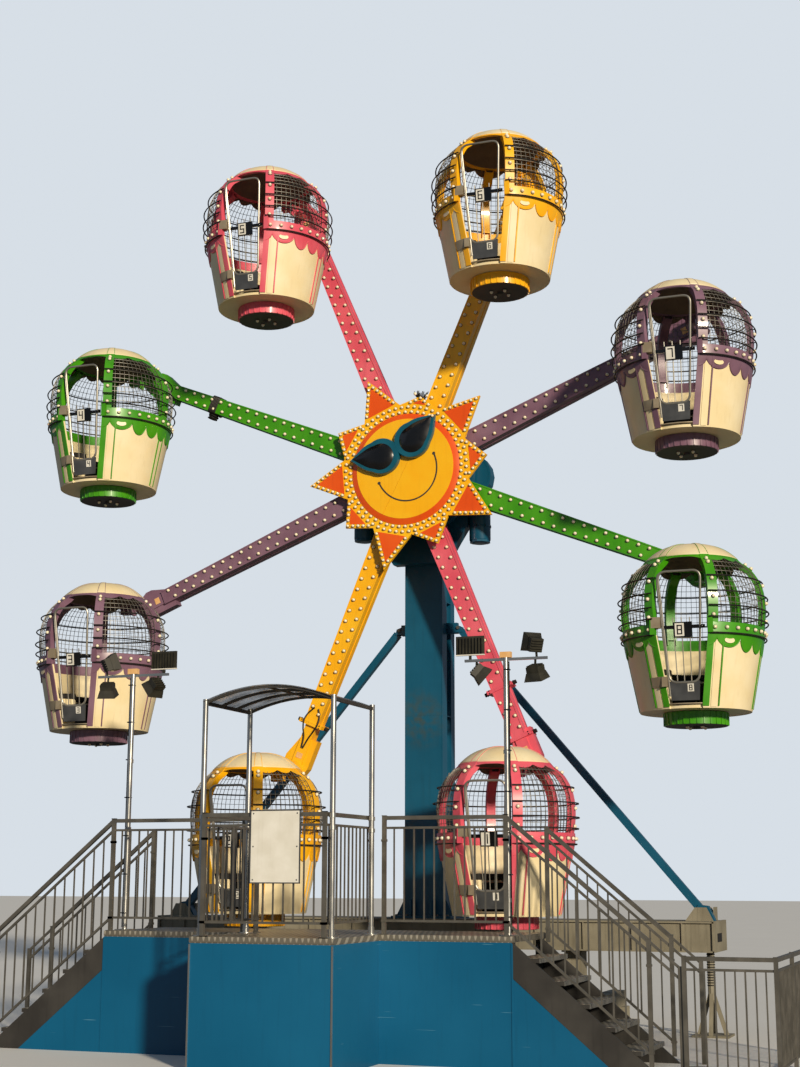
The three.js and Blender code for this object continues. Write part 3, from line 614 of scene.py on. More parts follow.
def ribParts():  # channel ribs over the shoulder, each with a backing strip
    parts = []
    half = [(0.055, 0), (0.055, -0.07), (0.047, -0.07), (0.047, -0.008)]
    channel = np.array([(-x, y) for x, y in half] + half[::-1])
    for angle in cab["ribAngles"]:
        path = around(angle, ribRadius, ribHeight)
        a = math.radians(angle)
        side = np.broadcast_to([math.cos(a), math.sin(a), 0.0], path.shape)
        normal = unit(np.cross(side, unit(np.gradient(path, axis=0))))
        normal *= np.sign(np.sum(normal * around(angle, 1.0, 0.4), -1, keepdims=True))
        parts.append(carried(path, channel, side, normal))
        parts.append(sweep((path - normal * 0.066)[1:-2], rectOf(0.1, 0.004), normal[1:-2]))
    return parts


# Valance below the crown: a smooth arch over the doorway, small half-round scallops elsewhere
def valance(out, inn):
    angle = np.linspace(0, 360, 721)[:-1, None]
    arch = 0.05 * np.clip(1 - nearestRib(angle) / 20.0, 0, 1) ** 2
    doorway = np.abs((angle + 180) % 360 - 180) < 26
    drop = 0.016 + arch + np.where(doorway, 0.0, 0.008 + 0.034 * np.abs(np.sin(np.radians((angle - 30) * 9))))
    share = np.array([0.0, 0.5, 1.0])[None]
    z = 1.706 - drop * share
    radius = 0.534 + drop * share
    verts, faces = shell(around(angle, radius + out, z), around(angle, radius + inn, z), True)
    return verts, flipped(faces)


def frameParts():  # ribs, belt, crown and valance; the bearing sleeve, its web and foot; the belt's ends
    belt = [(0.783, 0.8003), (0.795, 0.804), (0.797, 0.862), (0.795, 0.921), (0.787, 0.925)]
    belt += [(0.758, 0.925), (0.758, 0.8003)]
    top = cab["crown"]
    crown = [(0.543, 1.696), (0.548, 1.701), (0.538, 1.714), (0.531, top), (0.478, top), (0.494, 1.696)]
    sleeve = [(0.0425, 0.6), (0.062, 0.6), (0.066, 0.604), (0.066, 0.836), (0.062, 0.84), (0.0425, 0.84)]
    parts = ribParts() + [
        lathe(belt, 90, 21.6, 316.8, True),
        lathe(crown, 90, closedProfile=True),
        valance(0.004, 0.0),
        lying(sleeve, (0, 0, cab["pivot"]), 32),
        box(-0.012, 0.012, 0.6, 0.824, 1.62, 1.735),
        box(-0.06, 0.06, 0.53, 0.63, 1.6, 1.7),
    ]
    return parts + [sideBox(side, 0.291, 0.345, -0.76, -0.68, 0.801, 0.985) for side in (-1, 1)]


def drumParts():  # ribbed painted band round the drum
    ring = lathe([(0.345, -0.148), (0.356, -0.146), (0.362, -0.004), (0.345, 0.0)], 72, closedProfile=True)
    a = np.arange(0, 360, 12.0)
    axes = np.stack(np.broadcast_arrays(outward(a), outward(a + 90), [0.0, 0.0, 1.0]), 1)
    return [ring, boxesAt(around(a, 0.36, -0.075), [0.006, 0.006, 0.068], axes)]


def undersideParts():  # dark dished plate with a boss under the drum
    return [
        lathe([(0, -0.15), (0.03, -0.15), (0.2, -0.144), (0.346, -0.15), (0.346, -0.10), (0, -0.10)], 64),
        lathe([(0, -0.18), (0.03, -0.177), (0.038, -0.168), (0.04, -0.148), (0, -0.148)], 20),
    ]


# Dome height at a radius: top - rise * share ** 2.8, with share = radius / rim radius
def domeHeight(radius):
    return cab["domeTop"] - cab["domeRise"] * (radius / cab["domeRadius"]) ** 2.8


def seamHalf(radius):  # half the width of the raised band over each rib
    return 0.012 + 0.035 * radius / cab["domeRadius"]


def roofParts():  # cream dome with a raised band in line with each rib
    r = cab["domeRadius"] * np.linspace(0, 1, 18)[:, None]
    a = np.arange(0, 360, 1.5)[None]
    lateral = r * np.radians(nearestRib(a))
    raised = 0.007 / (1 + np.exp((lateral - seamHalf(r)) / 0.004)) * np.clip(r / 0.12, 0, 1)
    top = around(a, r, domeHeight(r) + raised)
    under = around(a, r * 0.93, domeHeight(r) - 0.022)
    under[-1] = around(a, 0.49, cab["crown"])[0]
    rim = around(a, cab["domeRadius"] - 0.002, cab["crown"])
    grid = np.concatenate([top[1:], rim, under[1:][::-1]], 0)
    rows, n = grid.shape[:2]
    verts = np.concatenate([grid.reshape(-1, 3), top[:1, 0], under[:1, 0]])
    faces = gridFaces(rows, n, wrapCols=True).tolist()
    faces += [[i, (i + 1) % n, rows * n] for i in range(n)]
    last = (rows - 1) * n
    faces += [[last + (i + 1) % n, last + i, rows * n + 1] for i in range(n)]
    return [(verts, faces)]


def seamParts():  # two thin painted lines over each band of the dome
    parts = []
    r = cab["domeRadius"] * np.linspace(0.08, 1.0, 16)
    for angle in cab["ribAngles"]:
        for side in (-1, 1):
            path = around(angle + side * np.degrees(seamHalf(r) / r), r, domeHeight(r) + 0.003)
            parts.append(sweep(path, rectOf(0.006, 0.005), (0, 0, 1)))
    return parts


def liningParts():  # brown lining under the dome, and the back of the valance: their brown is painted shade
    r = np.linspace(0, 0.48, 9)
    z = domeHeight(r / 0.93) - 0.026
    profile = [(a, b - 0.004) for a, b in zip(r, z)] + [(a, b) for a, b in zip(r[::-1], z[::-1])]
    return [lathe(profile, 60), valance(-0.001, -0.005)]


def hoopParts():  # thick dark hoops round the cage and below the belt
    angle = np.linspace(22, 338, 90)
    parts = [sweep(around(angle, radius, z), ringOf(0.0085, 6)) for radius, z in cab["hoops"]]
    parts.append(sweep(around(np.linspace(24, 336, 100), 0.812, 0.80), ringOf(0.009, 6)))
    for angle in cab["ribAngles"]:
        for radius, z in cab["hoops"]:
            parts.append(bar(around(angle, radius - 0.05, z), around(angle, radius, z), ringOf(0.006, 6)))
    return parts


def cageParts():  # level wires and uprights between the ribs
    parts = []
    wires = np.arange(0.965, 1.69, cab["meshCell"])
    skin = np.interp(wires, ribHeight, ribRadius) - 0.02
    thin = rectOf(0.0048, 0.0048)
    for radius, z in zip(skin, wires):
        parts.append(sweep(around(np.linspace(26, 334, 64), radius, z), thin))
    levels = np.linspace(0.925, 1.698, 12)
    uprights = np.interp(levels, ribHeight, ribRadius) - 0.016
    for angle in np.arange(28, 333, 4.4):
        parts.append(sweep(around(angle, uprights, levels), thin, outward(angle + 90)))
    return parts


def bulbSpots():  # places and directions of the cab's lamps
    height = np.array([1.0, 1.2, 1.4, 1.6, 1.648])
    radius = np.interp(height, ribHeight, ribRadius)
    lean = np.interp(height, ribHeight, np.gradient(ribRadius, ribHeight))
    spots = [around(angle, radius, height) for angle in cab["ribAngles"]]
    ways = [unit(outward(angle)[None] + np.array([0, 0, 1.0]) * -lean[:, None]) for angle in cab["ribAngles"]]
    belt = 27 + np.arange(32) * (306 / 31)
    spots += [around(belt, 0.797, 0.862), around(np.array([45, 135, 225, 315]), 0.12, -0.1475)]
    ways += [outward(belt), np.broadcast_to([0.0, 0.0, -1.0], (4, 3))]
    return np.concatenate(spots), np.concatenate(ways)


# The door, in its own leaning plane: across, along its height, and outward

door = {
    "foot": (0, -0.612, 0.13), "footHalf": 0.155,
    "head": (0, -0.8, 1.5), "headHalf": 0.242,
    "tube": 0.013,
}
doorUp = unit(np.array(door["head"]) - np.array(door["foot"]))
doorOut = np.cross([1.0, 0, 0], doorUp)
doorHeight = float(np.linalg.norm(np.array(door["head"]) - np.array(door["foot"])))


def onDoor(x, s, out=0.0):
    x, s, out = np.broadcast_arrays(np.asarray(x, float), np.asarray(s, float), np.asarray(out, float))
    foot = np.array(door["foot"], float)
    return foot + x[..., None] * [1.0, 0, 0] + s[..., None] * doorUp + out[..., None] * doorOut


def doorHalf(s):
    return door["footHalf"] + (door["headHalf"] - door["footHalf"]) * s / doorHeight


def doorSlab(x0, x1, s0, s1, d0, d1):
    return slab(band(x0, x1, s0, s1), d0, d1, (1, 0, 0), doorUp, onDoor(0, 0))


def roundedLoop(corners, radius, steps=6):  # a closed path whose corners are quarter bends
    corners = np.asarray(corners, float)
    before = unit(np.roll(corners, 1, 0) - corners)
    after = unit(np.roll(corners, -1, 0) - corners)
    t = np.linspace(0, 1, steps)[None, :, None]
    start, end = corners + before * radius, corners + after * radius
    bend = (1 - t) ** 2 * start[:, None] + 2 * t * (1 - t) * corners[:, None] + t**2 * end[:, None]
    return bend.reshape(-1, corners.shape[1])


def doorTubeParts():
    low, high = 0.15, doorHeight - 0.013
    foot, head = doorHalf(low), doorHalf(high) - 0.004
    loop = roundedLoop([(-foot, low), (foot, low), (head, high), (-head, high)], 0.095, 8)
    parts = [sweep(onDoor(loop[:, 0], loop[:, 1]), ringOf(door["tube"], 10), doorOut, closed=True)]
    for x in (-0.08, 0.0, 0.08):
        parts.append(bar(onDoor(0.95 * x, 0.14), onDoor(1.15 * x, 0.86), ringOf(0.006, 8), doorOut))
    stile = smoothPath([(-0.165, 0.0), (-0.21, 0.72), (-0.243, 1.26), (-0.2, 1.36)], 5)
    parts.append(sweep(onDoor(stile[:, 0], stile[:, 1]), ringOf(0.0125, 10), doorOut))
    return parts


def kickParts():
    outline = [(-0.153, -0.045), (0.153, -0.045), (0.168, 0.165), (-0.168, 0.165)]
    return [slab(outline, -0.006, 0.008, (1, 0, 0), doorUp, onDoor(0, 0))]


def latchParts():  # number bracket, the bar across to the jamb, and its knob
    strap = doorSlab(-0.21, 0.255, 0.735, 0.775, -0.009, 0.010)
    knob = capsAt([onDoor(0.225, 0.755, 0.012)], [doorOut], 0.02, 0.03, 0.015, 12)
    return [doorSlab(-0.085, 0.115, 0.64, 0.81, 0.0, 0.018), strap, knob]


def numberPlates():
    large = doorSlab(-0.072, 0.028, 0.655, 0.797, 0.018, 0.0205)
    return [large, doorSlab(0.03, 0.098, 0.05, 0.135, 0.008, 0.0105)]


# Digits are seven-stroke shapes, as cut from dark vinyl
strokes = {
    "top": (-1, 1, 1, 1), "mid": (-1, 0, 1, 0), "low": (-1, -1, 1, -1),
    "ul": (-1, 0, -1, 1), "ur": (1, 0, 1, 1), "ll": (-1, -1, -1, 0), "lr": (1, -1, 1, 0),
}
digitStrokes = {
    1: "ur lr", 2: "top ur mid ll low", 3: "top ur mid lr low", 4: "ul mid ur lr",
    5: "top ul mid lr low", 6: "top ul mid ll lr low", 7: "top ur lr", 8: "top mid low ul ur ll lr",
}
digitPlaces = ((-0.022, 0.726, 0.023, 0.046, 0.0205), (0.064, 0.0925, 0.014, 0.027, 0.0105))


def digitParts(number):  # the digit on the bracket's plate and again on the kick plate's
    parts = []
    for middle, height, wide, tall, out in digitPlaces:
        t = wide * 0.3
        for name in digitStrokes[number].split():
            x0, s0, x1, s1 = strokes[name]
            x = (middle + x0 * wide - t, middle + x1 * wide + t)
            s = (height + s0 * tall - t, height + s1 * tall + t)
            parts.append(doorSlab(*x, *s, out, out + 0.0012))
    return parts


def hingeParts():  # hinge blocks, the lower one's strap across the wall, and the sill strip
    z = np.array([0.235, 0.345])
    strap = wallSkin(360 - doorAngle(z, 0.145), 360 - doorAngle(z, -0.002), z, 0.019, 0.004, 8)
    return [
        box(-0.332, -0.2307, -0.762, -0.691, 0.872, 0.992),
        box(-0.2452, -0.1852, -0.67, -0.605, 0.235, 0.345),
        strap,
        lathe(band(0.6, 0.634, 0.0455, 0.056), 16, -17, 34, True),
    ]


def plateParts():  # blank oval plates in the wide lobes
    t = np.linspace(0, 2 * np.pi, 24, endpoint=False)
    oval = np.stack([0.062 * np.cos(t), 0.032 * np.sin(t)], -1)
    middles = [(angle, around(angle, radiusAt(0.725) + 0.0105, 0.725)) for angle in (40, 320)]
    return [slab(oval, 0.0, 0.004, outward(angle + 90), (0.0, 0.0, 1.0), middle) for angle, middle in middles]


spots, ways = bulbSpots()
cabShapes = {
    "tub": tubParts(),
    "mat": matParts(),
    "frame": frameParts(),
    "trim": skirtParts() + jambParts() + seamBeads() + drumParts() + seamParts(),
    "cream": creamStripParts() + seamStrips() + plateParts(),
    "roof": roofParts(),
    "lining": liningParts(),
    "hoops": hoopParts(),
    "cage": cageParts(),
    "caps": [lamps(spots, ways, cab["bulb"])],
    "gaskets": [gaskets(spots, ways, cab["bulb"], 0.008)] + undersideParts(),
    "hinges": hingeParts(),
    "doorTube": doorTubeParts(),
    "kick": kickParts(),
    "latch": latchParts(),
}
for number in range(1, 9):
    turn = math.radians(armTurn(number))
    height = wheel["hub"] + wheel["pivot"] * math.cos(turn) - cab["pivot"]
    place = (wheel["pivot"] * math.sin(turn), wheel["cabFront"], height)
    colour = colours[number - 1]
    body, doorBody = f"cab_{number}", f"door_{number}"
    paintSlot = "paint_" + colour
    for key, material, slotName, where, replaced in (
        ("tub", creamGelcoat, "paint_cream", body, ["tub"]),
        # black rubber mat, and painted shade on the bench's front
        ("mat", blackMatAndPaintedShade, "stair_dark", body, []),
        ("frame", enamel[colour], paintSlot, body, ["frame"]),
        ("trim", enamel[colour], paintSlot, body, []),
        ("cream", creamGelcoat, "paint_cream", body, []),
        ("roof", creamGelcoat, "roof_cream", body, ["roof"]),
        # the lining's brown is painted shade inside the roof
        ("lining", paintedShadeLining, "stair_dark", body, []),
        ("hoops", darkWire, "stair_dark", body, []),
        ("cage", dullWire, "galvanised", body, []),
        ("caps", lampCap, "roof_cream", body, []),
        ("gaskets", darkPaint, "stair_dark", body, []),
        ("hinges", hingeZinc, "door_alloy", body, []),
        ("doorTube", doorAlloy, "door_alloy", doorBody, ["door"]),
        ("kick", greyPlate, "door_alloy", doorBody, []),
        ("latch", blackNylon, "stair_dark", doorBody, []),
    ):
        addPiece(
            f"{body}_{key}Look",
            shifted(cabShapes[key], place),
            material,
            where,
            replaced=[f"{body}_{name}" for name in replaced],
        )
    painted = (number + 4) % 8 + 1  # the painted numbers start at the lowest cab on the right
    plates, digits = shifted(numberPlates(), place), shifted(digitParts(painted), place)
    addPiece(f"{body}_numberPlates", plates, whitePlate, doorBody)
    addPiece(f"{body}_digits", digits, blackNylon, doorBody)
print("cabs dressed")

# The arms: two staggered rows of lamps, edge strips, coupling plates and pins, and the pivot housing

arm = {
    "front": -0.82, "pins": -0.74,
    "hub": 0.495, "halfAtHub": 0.142, "taper": 0.0142, "end": 3.85,
    "bulb": 0.021, "pitch": 0.147,
}
armEnds = {4: 3.775, 5: 3.51}  # the two lower arms fold for the road at bolted flanges
armFlanges = {4: (3.11, 3.775), 5: (3.51,)}
forward = (0, -1, 0)


def armHalf(r):
    return arm["halfAtHub"] - arm["taper"] * (r - arm["hub"])


def armBulbs(end, flanges):
    rows = []
    for side, start in ((-1, 0.72), (1, 0.72 + arm["pitch"] / 2)):
        r = np.arange(start, end - 0.1, arm["pitch"])
        for flange in flanges:
            r = r[np.abs(r - flange) > 0.07]
        rows.append(np.stack([side * 0.57 * armHalf(r), np.full(len(r), arm["front"]), r], -1))
    return np.concatenate(rows)


def armTrim(end):  # edge strips, side strips and the pivot housing's collar
    parts = []
    strips = ((-0.009, arm["front"] - 0.003, rectOf(0.018, 0.007)), (0.002, -0.7, rectOf(0.01, 0.02)))
    for side in (-1, 1):
        for inset, y, section in strips:
            a, b = (side * (armHalf(r) + inset) for r in (0.5, end))
            parts.append(bar((a, y, 0.5), (b, y, end), section, (0, 1, 0)))
    collar = [(0.106, -1.0692), (0.108, -1.067), (0.108, -0.652), (0.106, -0.65)]
    return parts + [lying(collar, (0, 0, wheel["pivot"]), 40)]


def flangePlates(flanges):  # the two painted plates of a bolted joint
    pair = ((-0.022, -0.004), (0.009, 0.027))
    return [box(-0.167, 0.167, -0.837, -0.603, r + low, r + high) for r in flanges for low, high in pair]


def armIron(flanges):  # dark pins and bolts
    parts = []
    y = arm["pins"]
    for r in flanges:
        for side in (-1, 1):
            for near, far, section in ((0.172, 0.219, ringOf(0.0245, 14)), (0.18, 0.19, ringOf(0.032, 6))):
                parts.append(bar((side * near, y, r), (side * far, y, r), section))
        heads = [(x, -0.838, r + up) for x in (-0.13, 0.13) for up in (-0.013, 0.018)]
        parts.append(boltHeads(heads, forward, 0.008, 0.008, 0.001))
    turns = np.radians([0, 60, 120, 240, 300])
    x, z = 0.08 * np.sin(turns), wheel["pivot"] + 0.08 * np.cos(turns)
    parts.append(boltHeads(np.stack([x, np.full(5, -1.0698), z], -1), forward, 0.011, 0.0095, 0.0015))
    return parts


# A cable wound tight round the arm: x and y follow a square with rounded corners while r climbs
def woundCable(start, end, turns):
    t = np.linspace(0, 2 * np.pi * turns, 28 * turns)
    x = (armHalf(start) + 0.014) * np.sign(np.cos(t)) * np.abs(np.cos(t)) ** 0.25
    y = -0.72 + 0.114 * np.sign(np.sin(t)) * np.abs(np.sin(t)) ** 0.25
    return sweep(np.stack([x, y, np.linspace(start, end, len(t))], -1), ringOf(0.009, 6))


def coiledLoops():  # spare cable tied in a flat coil against the arm's side
    t = np.linspace(0, 2 * np.pi * 5, 120)
    r = 0.05 + np.linspace(0, 0.02, len(t))
    path = np.stack([-0.165 - 0.026 * np.sin(t * 0.4), -0.75 + r * np.cos(t), 3.07 + r * np.sin(t)], -1)
    return sweep(path, ringOf(0.008, 6), (1, 0.05, 0.1))


def armHoses():  # two hoses held against the front of the joint and the bracket
    route = np.array([(0.03, -0.832, 3.3), (0.085, -0.834, 3.4), (0.1, -0.848, 3.5)])
    route = np.concatenate([route, [(0.075, -0.836, 3.6), (0.035, -0.812, 3.7), (0.01, -0.811, 3.84)]])
    return [sweep(smoothPath(route * [side, 1, 1], 8), ringOf(0.0105, 8), (0, 1, 0.1)) for side in (-1, 1)]


for number in range(1, 9):
    colour = colours[number - 1]
    end, flanges = armEnds.get(number, arm["end"]), armFlanges.get(number, ())
    spots = armBulbs(end, flanges)
    iron = armIron(flanges)
    if number == 7:
        iron += [woundCable(3.02, 3.14, 6), coiledLoops()]
    if number == 5:
        iron += armHoses()
    for key, shape, material, slotName in (
        ("caps", [lamps(spots, forward, arm["bulb"])], lampCap, "roof_cream"),
        ("gaskets", [gaskets(spots, forward, arm["bulb"], 0.007)], darkPaint, "stair_dark"),
        ("trim", armTrim(end - 0.02) + flangePlates(flanges), enamel[colour], "paint_" + colour),
        ("iron", iron, darkWire, "stair_dark"),
        ("reflector", [box(-0.042, 0.042, -0.806, -0.8003, 3.91, 3.98)], amberAcrylic, "sun_orange"),
    ):
        parts = turnedAboutY(shape, armTurn(number), wheelHub)
        addPiece(f"arm_{number}_{key}", parts, material, "wheel")
print("arms dressed")

# The sun, in the wheel's plane: star, ray panels, bevelled ring, face, glasses and lamps

sun = {
    "tilt": -23.3,
    "longRay": 1.345,
    "shortRay": 1.10,
    "bentRay": 0.985,
    "valley": 0.87,
    "border": 0.05,
    "row": 0.026,
    "plate": 0.956,
    "ringOuter": 0.738,
    "disc": 0.662,
    "face": 0.993,
    "glasses": 1.066,
    "faceTilt": -24.2,
    "faceMiddle": 0.026,
    "bulb": 0.0195,
    "pitch": 0.073,
}


def polar(r, degrees):
    t = np.radians(degrees)
    return np.stack(np.broadcast_arrays(r * np.sin(t), r * np.cos(t)), -1)


def turned(flat, degrees):  # a flat (across, up) shape turned clockwise
    t = math.radians(degrees)
    return np.asarray(flat, float) @ np.array([[math.cos(t), -math.sin(t)], [math.sin(t), math.cos(t)]])


def rayTip(k):  # the second ray has lost its tip
    return sun["bentRay"] if k == 1 else sun["longRay"] if k % 2 == 0 else sun["shortRay"]


def rayHalf(k):  # half angle at a ray's tip
    side = sun["valley"] * math.sin(math.radians(18))
    return math.atan2(side, rayTip(k) - sun["valley"] * math.cos(math.radians(18)))


def starOutline(grow=0.0):
    k = np.arange(10)
    tips = polar(np.array([rayTip(i) for i in k]) + grow, sun["tilt"] + 36 * k)
    valleys = polar(sun["valley"] + grow, sun["tilt"] + 36 * k + 18)
    return np.stack([tips, valleys], 1).reshape(-1, 2)[::-1]


def rayPanels():  # an orange triangle on each ray, with a yellow border round it
    panels = []
    for k in range(10):
        base, top = 0.872, rayTip(k) - sun["border"] / math.sin(rayHalf(k))
        wide = (top - base) * math.tan(rayHalf(k))
        corners = turned([[0, top], [-wide, base], [wide, base]], sun["tilt"] + 36 * k)
        panels.append(slab(corners, sun["plate"], 0.9595))
    return panels


def rayBulbs(k):  # one lamp at the tip and a row down each edge, as far as the ring's lamps
    half = rayHalf(k)
    tip = rayTip(k) - sun["row"] / math.sin(half)
    steps = np.arange(1, 9) * sun["pitch"]
    down = tip - steps * math.cos(half)
    edges = [np.stack([side * steps * math.sin(half), down], -1) for side in (-1, 1)]
    flat = np.concatenate([[[0.0, tip]]] + edges)
    return turned(flat[np.hypot(flat[:, 0], flat[:, 1]) > 0.874], sun["tilt"] + 36 * k)


# Outline of a disc drawn out to a tip: beside the tip r = R / cos(e), with e the angle left to where
# the line from the tip touches the disc, bowed out a little; round the rest r = R
def tearOutline(centre, radius, tip, count=72):
    far = math.hypot(*tip)
    lean = math.atan2(tip[1], tip[0])
    off = np.arange(count) * 2 * np.pi / count
    t = lean + off
    reach = math.acos(radius / far)
    left = np.clip(reach - np.minimum(off, 2 * np.pi - off), 0, None)
    r = radius / np.cos(left) * (1 + 0.1 * np.sin(np.pi * left / reach))
    return np.stack([centre[0] + r * np.cos(t), centre[1] + r * np.sin(t)], -1)


def mirrored(outline):
    return outline * [-1, 1] + [2 * sun["faceMiddle"], 0]


def shrunk(outline, centre, share):
    return np.asarray(centre) + (outline - np.asarray(centre)) * share


frameCentre, lensCentre = np.array([-0.2, 0.28]), np.array([-0.212, 0.275])
frameOutline = tearOutline(frameCentre, 0.243, (-0.417, 0.155))
lensOutline = tearOutline(lensCentre, 0.16, (-0.33, 0.14))


def stacked(loops, depths):  # a closed solid through outlines at growing depth
    rings = [np.insert(loop, 1, -depth, axis=1) for loop, depth in zip(loops, depths)]
    rows, n = len(rings), len(rings[0])
    faces = gridFaces(rows, n, wrapCols=True)[:, ::-1].tolist() + flipped(capFaces(rows, n))
    return np.concatenate(rings), faces


def bothFrames(outline, centre, shares, depths):
    left = [shrunk(outline, centre, share) for share in shares]
    right = [mirrored(loop)[::-1] for loop in left]
    return [stacked(left, depths), stacked(right, [depth + 0.0006 for depth in depths])]


def glassesParts():
    depths = (0.994, 1.035, 1.06, sun["glasses"])
    return bothFrames(frameOutline, frameCentre, (1.0, 1.0, 0.975, 0.955), depths)


def lensParts():
    depths = (1.062, 1.068, 1.086, 1.1, 1.106)
    return bothFrames(lensOutline, lensCentre, (1.1, 1.1, 0.9, 0.6, 0.3), depths)


def insideOutline(points, outline):  # even-odd rule on the outline's edges
    x, y = points[:, :1], points[:, 1:]
    a, b = outline, np.roll(outline, -1, 0)
    crosses = (a[:, 1] > y) != (b[:, 1] > y)
    cut = a[:, 0] + (y - a[:, 1]) / (b[:, 1] - a[:, 1] + 1e-12) * (b[:, 0] - a[:, 0])
    return np.sum(crosses & (x < cut), -1) % 2 == 1


def sunBulbs():  # lamps that lie under the tips of the glasses stand on them instead
    rings = [polar(0.763, np.arange(56) * 360 / 56), polar(0.831, np.arange(60) * 6 + 2.6)]
    flat = np.concatenate(rings + [rayBulbs(k) for k in range(10)])
    own = turned(flat, -sun["faceTilt"])
    covered, near = (
        insideOutline(own, outline) | insideOutline(own, mirrored(outline))
        for outline in (frameOutline, shrunk(frameOutline, frameCentre, 1.07))
    )
    depth = np.where(covered, sun["glasses"] - 0.004, sun["plate"])
    return np.stack([flat[:, 0], -depth, flat[:, 1]], -1)[covered | ~near]


def halfDisc(side, radius, depth0, depth1):
    t = np.linspace(0, 180, 49) if side > 0 else np.linspace(180, 360, 49)
    outline = polar(radius, t + 27) + polar(0.0015, 27 + 90) * side
    return slab(outline[::-1], depth0, depth1)


def smileParts():
    t = np.radians(np.linspace(-180, 0, 60))
    path = np.stack([0.022 + 0.411 * np.cos(t), np.full(60, -0.9945), -0.012 + 0.435 * np.sin(t)], -1)
    ends = path[[0, -1]] + [0, 0.001, 0]
    return [sweep(path, rectOf(0.018, 0.005), (0, 1, 0)), capsAt(ends, forward, 0.02, 0.006, 0.005, 14, 1)]


def brokenTip():  # a tangle of wire ends where the ray has lost its tip
    parts = []
    for i in range(11):
        side, high = -0.075 + 0.015 * i, 0.02 + 0.045 * abs(math.sin(2.3 * i + 0.6))
        points = [(side * 0.6, -0.93, 0.95), (side, -0.972, 0.98)]
        points += [(side * 1.25, -0.985, 0.98 + high), (side * 0.9, -0.965, 0.975)]
        parts.append(sweep(smoothPath(points, 6), ringOf(0.006, 5), (1, 0.2, 0)))
    return turnedAboutY(parts, sun["tilt"] + 36)


def looseBulbs():  # two lamps left hanging in the tangle
    spots = [(-0.07, -0.985, 0.99), (0.085, -0.98, 0.985)]
    ways = np.array([(-0.5, -0.7, 0.4), (0.5, -0.8, 0.2)])
    return turnedAboutY([lamps(spots, ways, 0.02)], sun["tilt"] + 36)


spots = sunBulbs()
low = sun["plate"] - 0.0005  # each layer starts just inside the one below
bevel = [(0.6, low), (sun["ringOuter"], low), (sun["ringOuter"], 0.962), (0.664, 0.99), (0.6, 0.99)]
ringVerts, ringFaces = lathe(bevel, 96, closedProfile=True)
orangeRing = (ringVerts @ np.array([[1, 0, 0], [0, 0, 1], [0, -1, 0]]), ringFaces)
star = slab(starOutline(0.003), 0.913, sun["plate"])
rightHalf = halfDisc(1, sun["disc"], low, sun["face"])
leftHalf = halfDisc(-1, sun["disc"], low, sun["face"] - 0.0003)
for key, parts, material, slotName, tilt in (
    ("star", [star], enamel["sunYellow"], "paint_yellow", 0),
    ("rayPanels", rayPanels() + [orangeRing], enamel["orange"], "sun_orange", 0),
    ("faceRight", [rightHalf], enamel["sunYellow"], "paint_yellow", 0),
    ("faceLeft", [leftHalf], enamel["yellow"], "paint_yellow", 0),
    ("caps", [lamps(spots, forward, sun["bulb"], 0.032)] + looseBulbs(), lampCap, "roof_cream", 0),
    ("gaskets", [gaskets(spots, forward, sun["bulb"], 0.006)], darkPaint, "stair_dark", 0),
    ("wires", brokenTip(), darkWire, "stair_dark", 0),
    ("glasses", glassesParts(), tealMoulding, "tower_blue", sun["faceTilt"]),
    ("lenses", lensParts(), blackNylon, "stair_dark", sun["faceTilt"]),
    ("smile", smileParts(), darkPaint, "stair_dark", sun["faceTilt"]),
):
    addPiece("sun_" + key, turnedAboutY(parts, tilt, wheelHub), material, "wheel")
print("sun dressed")

# The hub, slewing head, tower and braces

motor = {"x": 0.808, "y": -0.33, "top": 6.81, "lows": {-1: 6.24, 1: 6.115}}
tower = {"halfX": 0.252, "halfY": 0.247, "foot": 1.371, "head": 7.3003}


def boltRing(radius, count, y):
    t = np.arange(count) * 2 * np.pi / count
    return np.stack([radius * np.sin(t), np.full(count, y), wheel["hub"] + radius * np.cos(t)], -1)


hubTrim = [
    lying(band(0.76, 0.803, -0.602, -0.498), wheelHub, 96),
    lying(band(0.28, 0.304, -0.915, -0.598), wheelHub),
]
addPiece("hub_trim", hubTrim, enamel["towerBlue"], "wheel")
hubBolts = boltHeads(boltRing(0.72, 32, -0.4985), (0, 1, 0), 0.016, 0.014)
addPiece("hub_bolts", [hubBolts], darkWire, "wheel")

headTrim = [lying(band(0.74, 0.763, -0.499, -0.398), wheelHub, 96)]
headBolts = [boltHeads(boltRing(0.7, 32, -0.399), (0, 1, 0), 0.015, 0.013)]
for side, low in motor["lows"].items():  # a flange, a cowl with its dished foot, two bands and bolts
    headTrim.append(lying(band(0.285, 0.317, -0.453, -0.438), (side * 0.68, 0, 6.99), 64))
    x, y, top = side * motor["x"], motor["y"], motor["top"]
    cowl = [(0.136, low + 0.03), (0.1385, low + 0.036), (0.1385, top), (0.136, top + 0.036)]
    cowl += [(0.1, top + 0.037), (0.1, low + 0.03)]
    dish = [(0.0, low - 0.012), (0.09, low - 0.01), (0.125, low + 0.03), (0.0, low + 0.03)]
    headTrim += [upright(cowl, (x, y, 0), 40), upright(dish, (x, y, 0), 32)]
    for z in (low + 0.2, low + 0.4):
        headTrim.append(upright(band(0.137, 0.147, z, z + 0.022), (x, y, 0), 40))
    t = np.arange(8) * np.pi / 4
    ring = np.stack([x + 0.142 * np.sin(t), y + 0.142 * np.cos(t), np.full(8, low + 0.225)], -1)
    headBolts.append(boltHeads(ring, (0, 0, -1), 0.008, 0.03))
addPiece("head_trim", headTrim, enamel["towerBlue"], "base")
addPiece("head_bolts", headBolts, darkWire, "base")

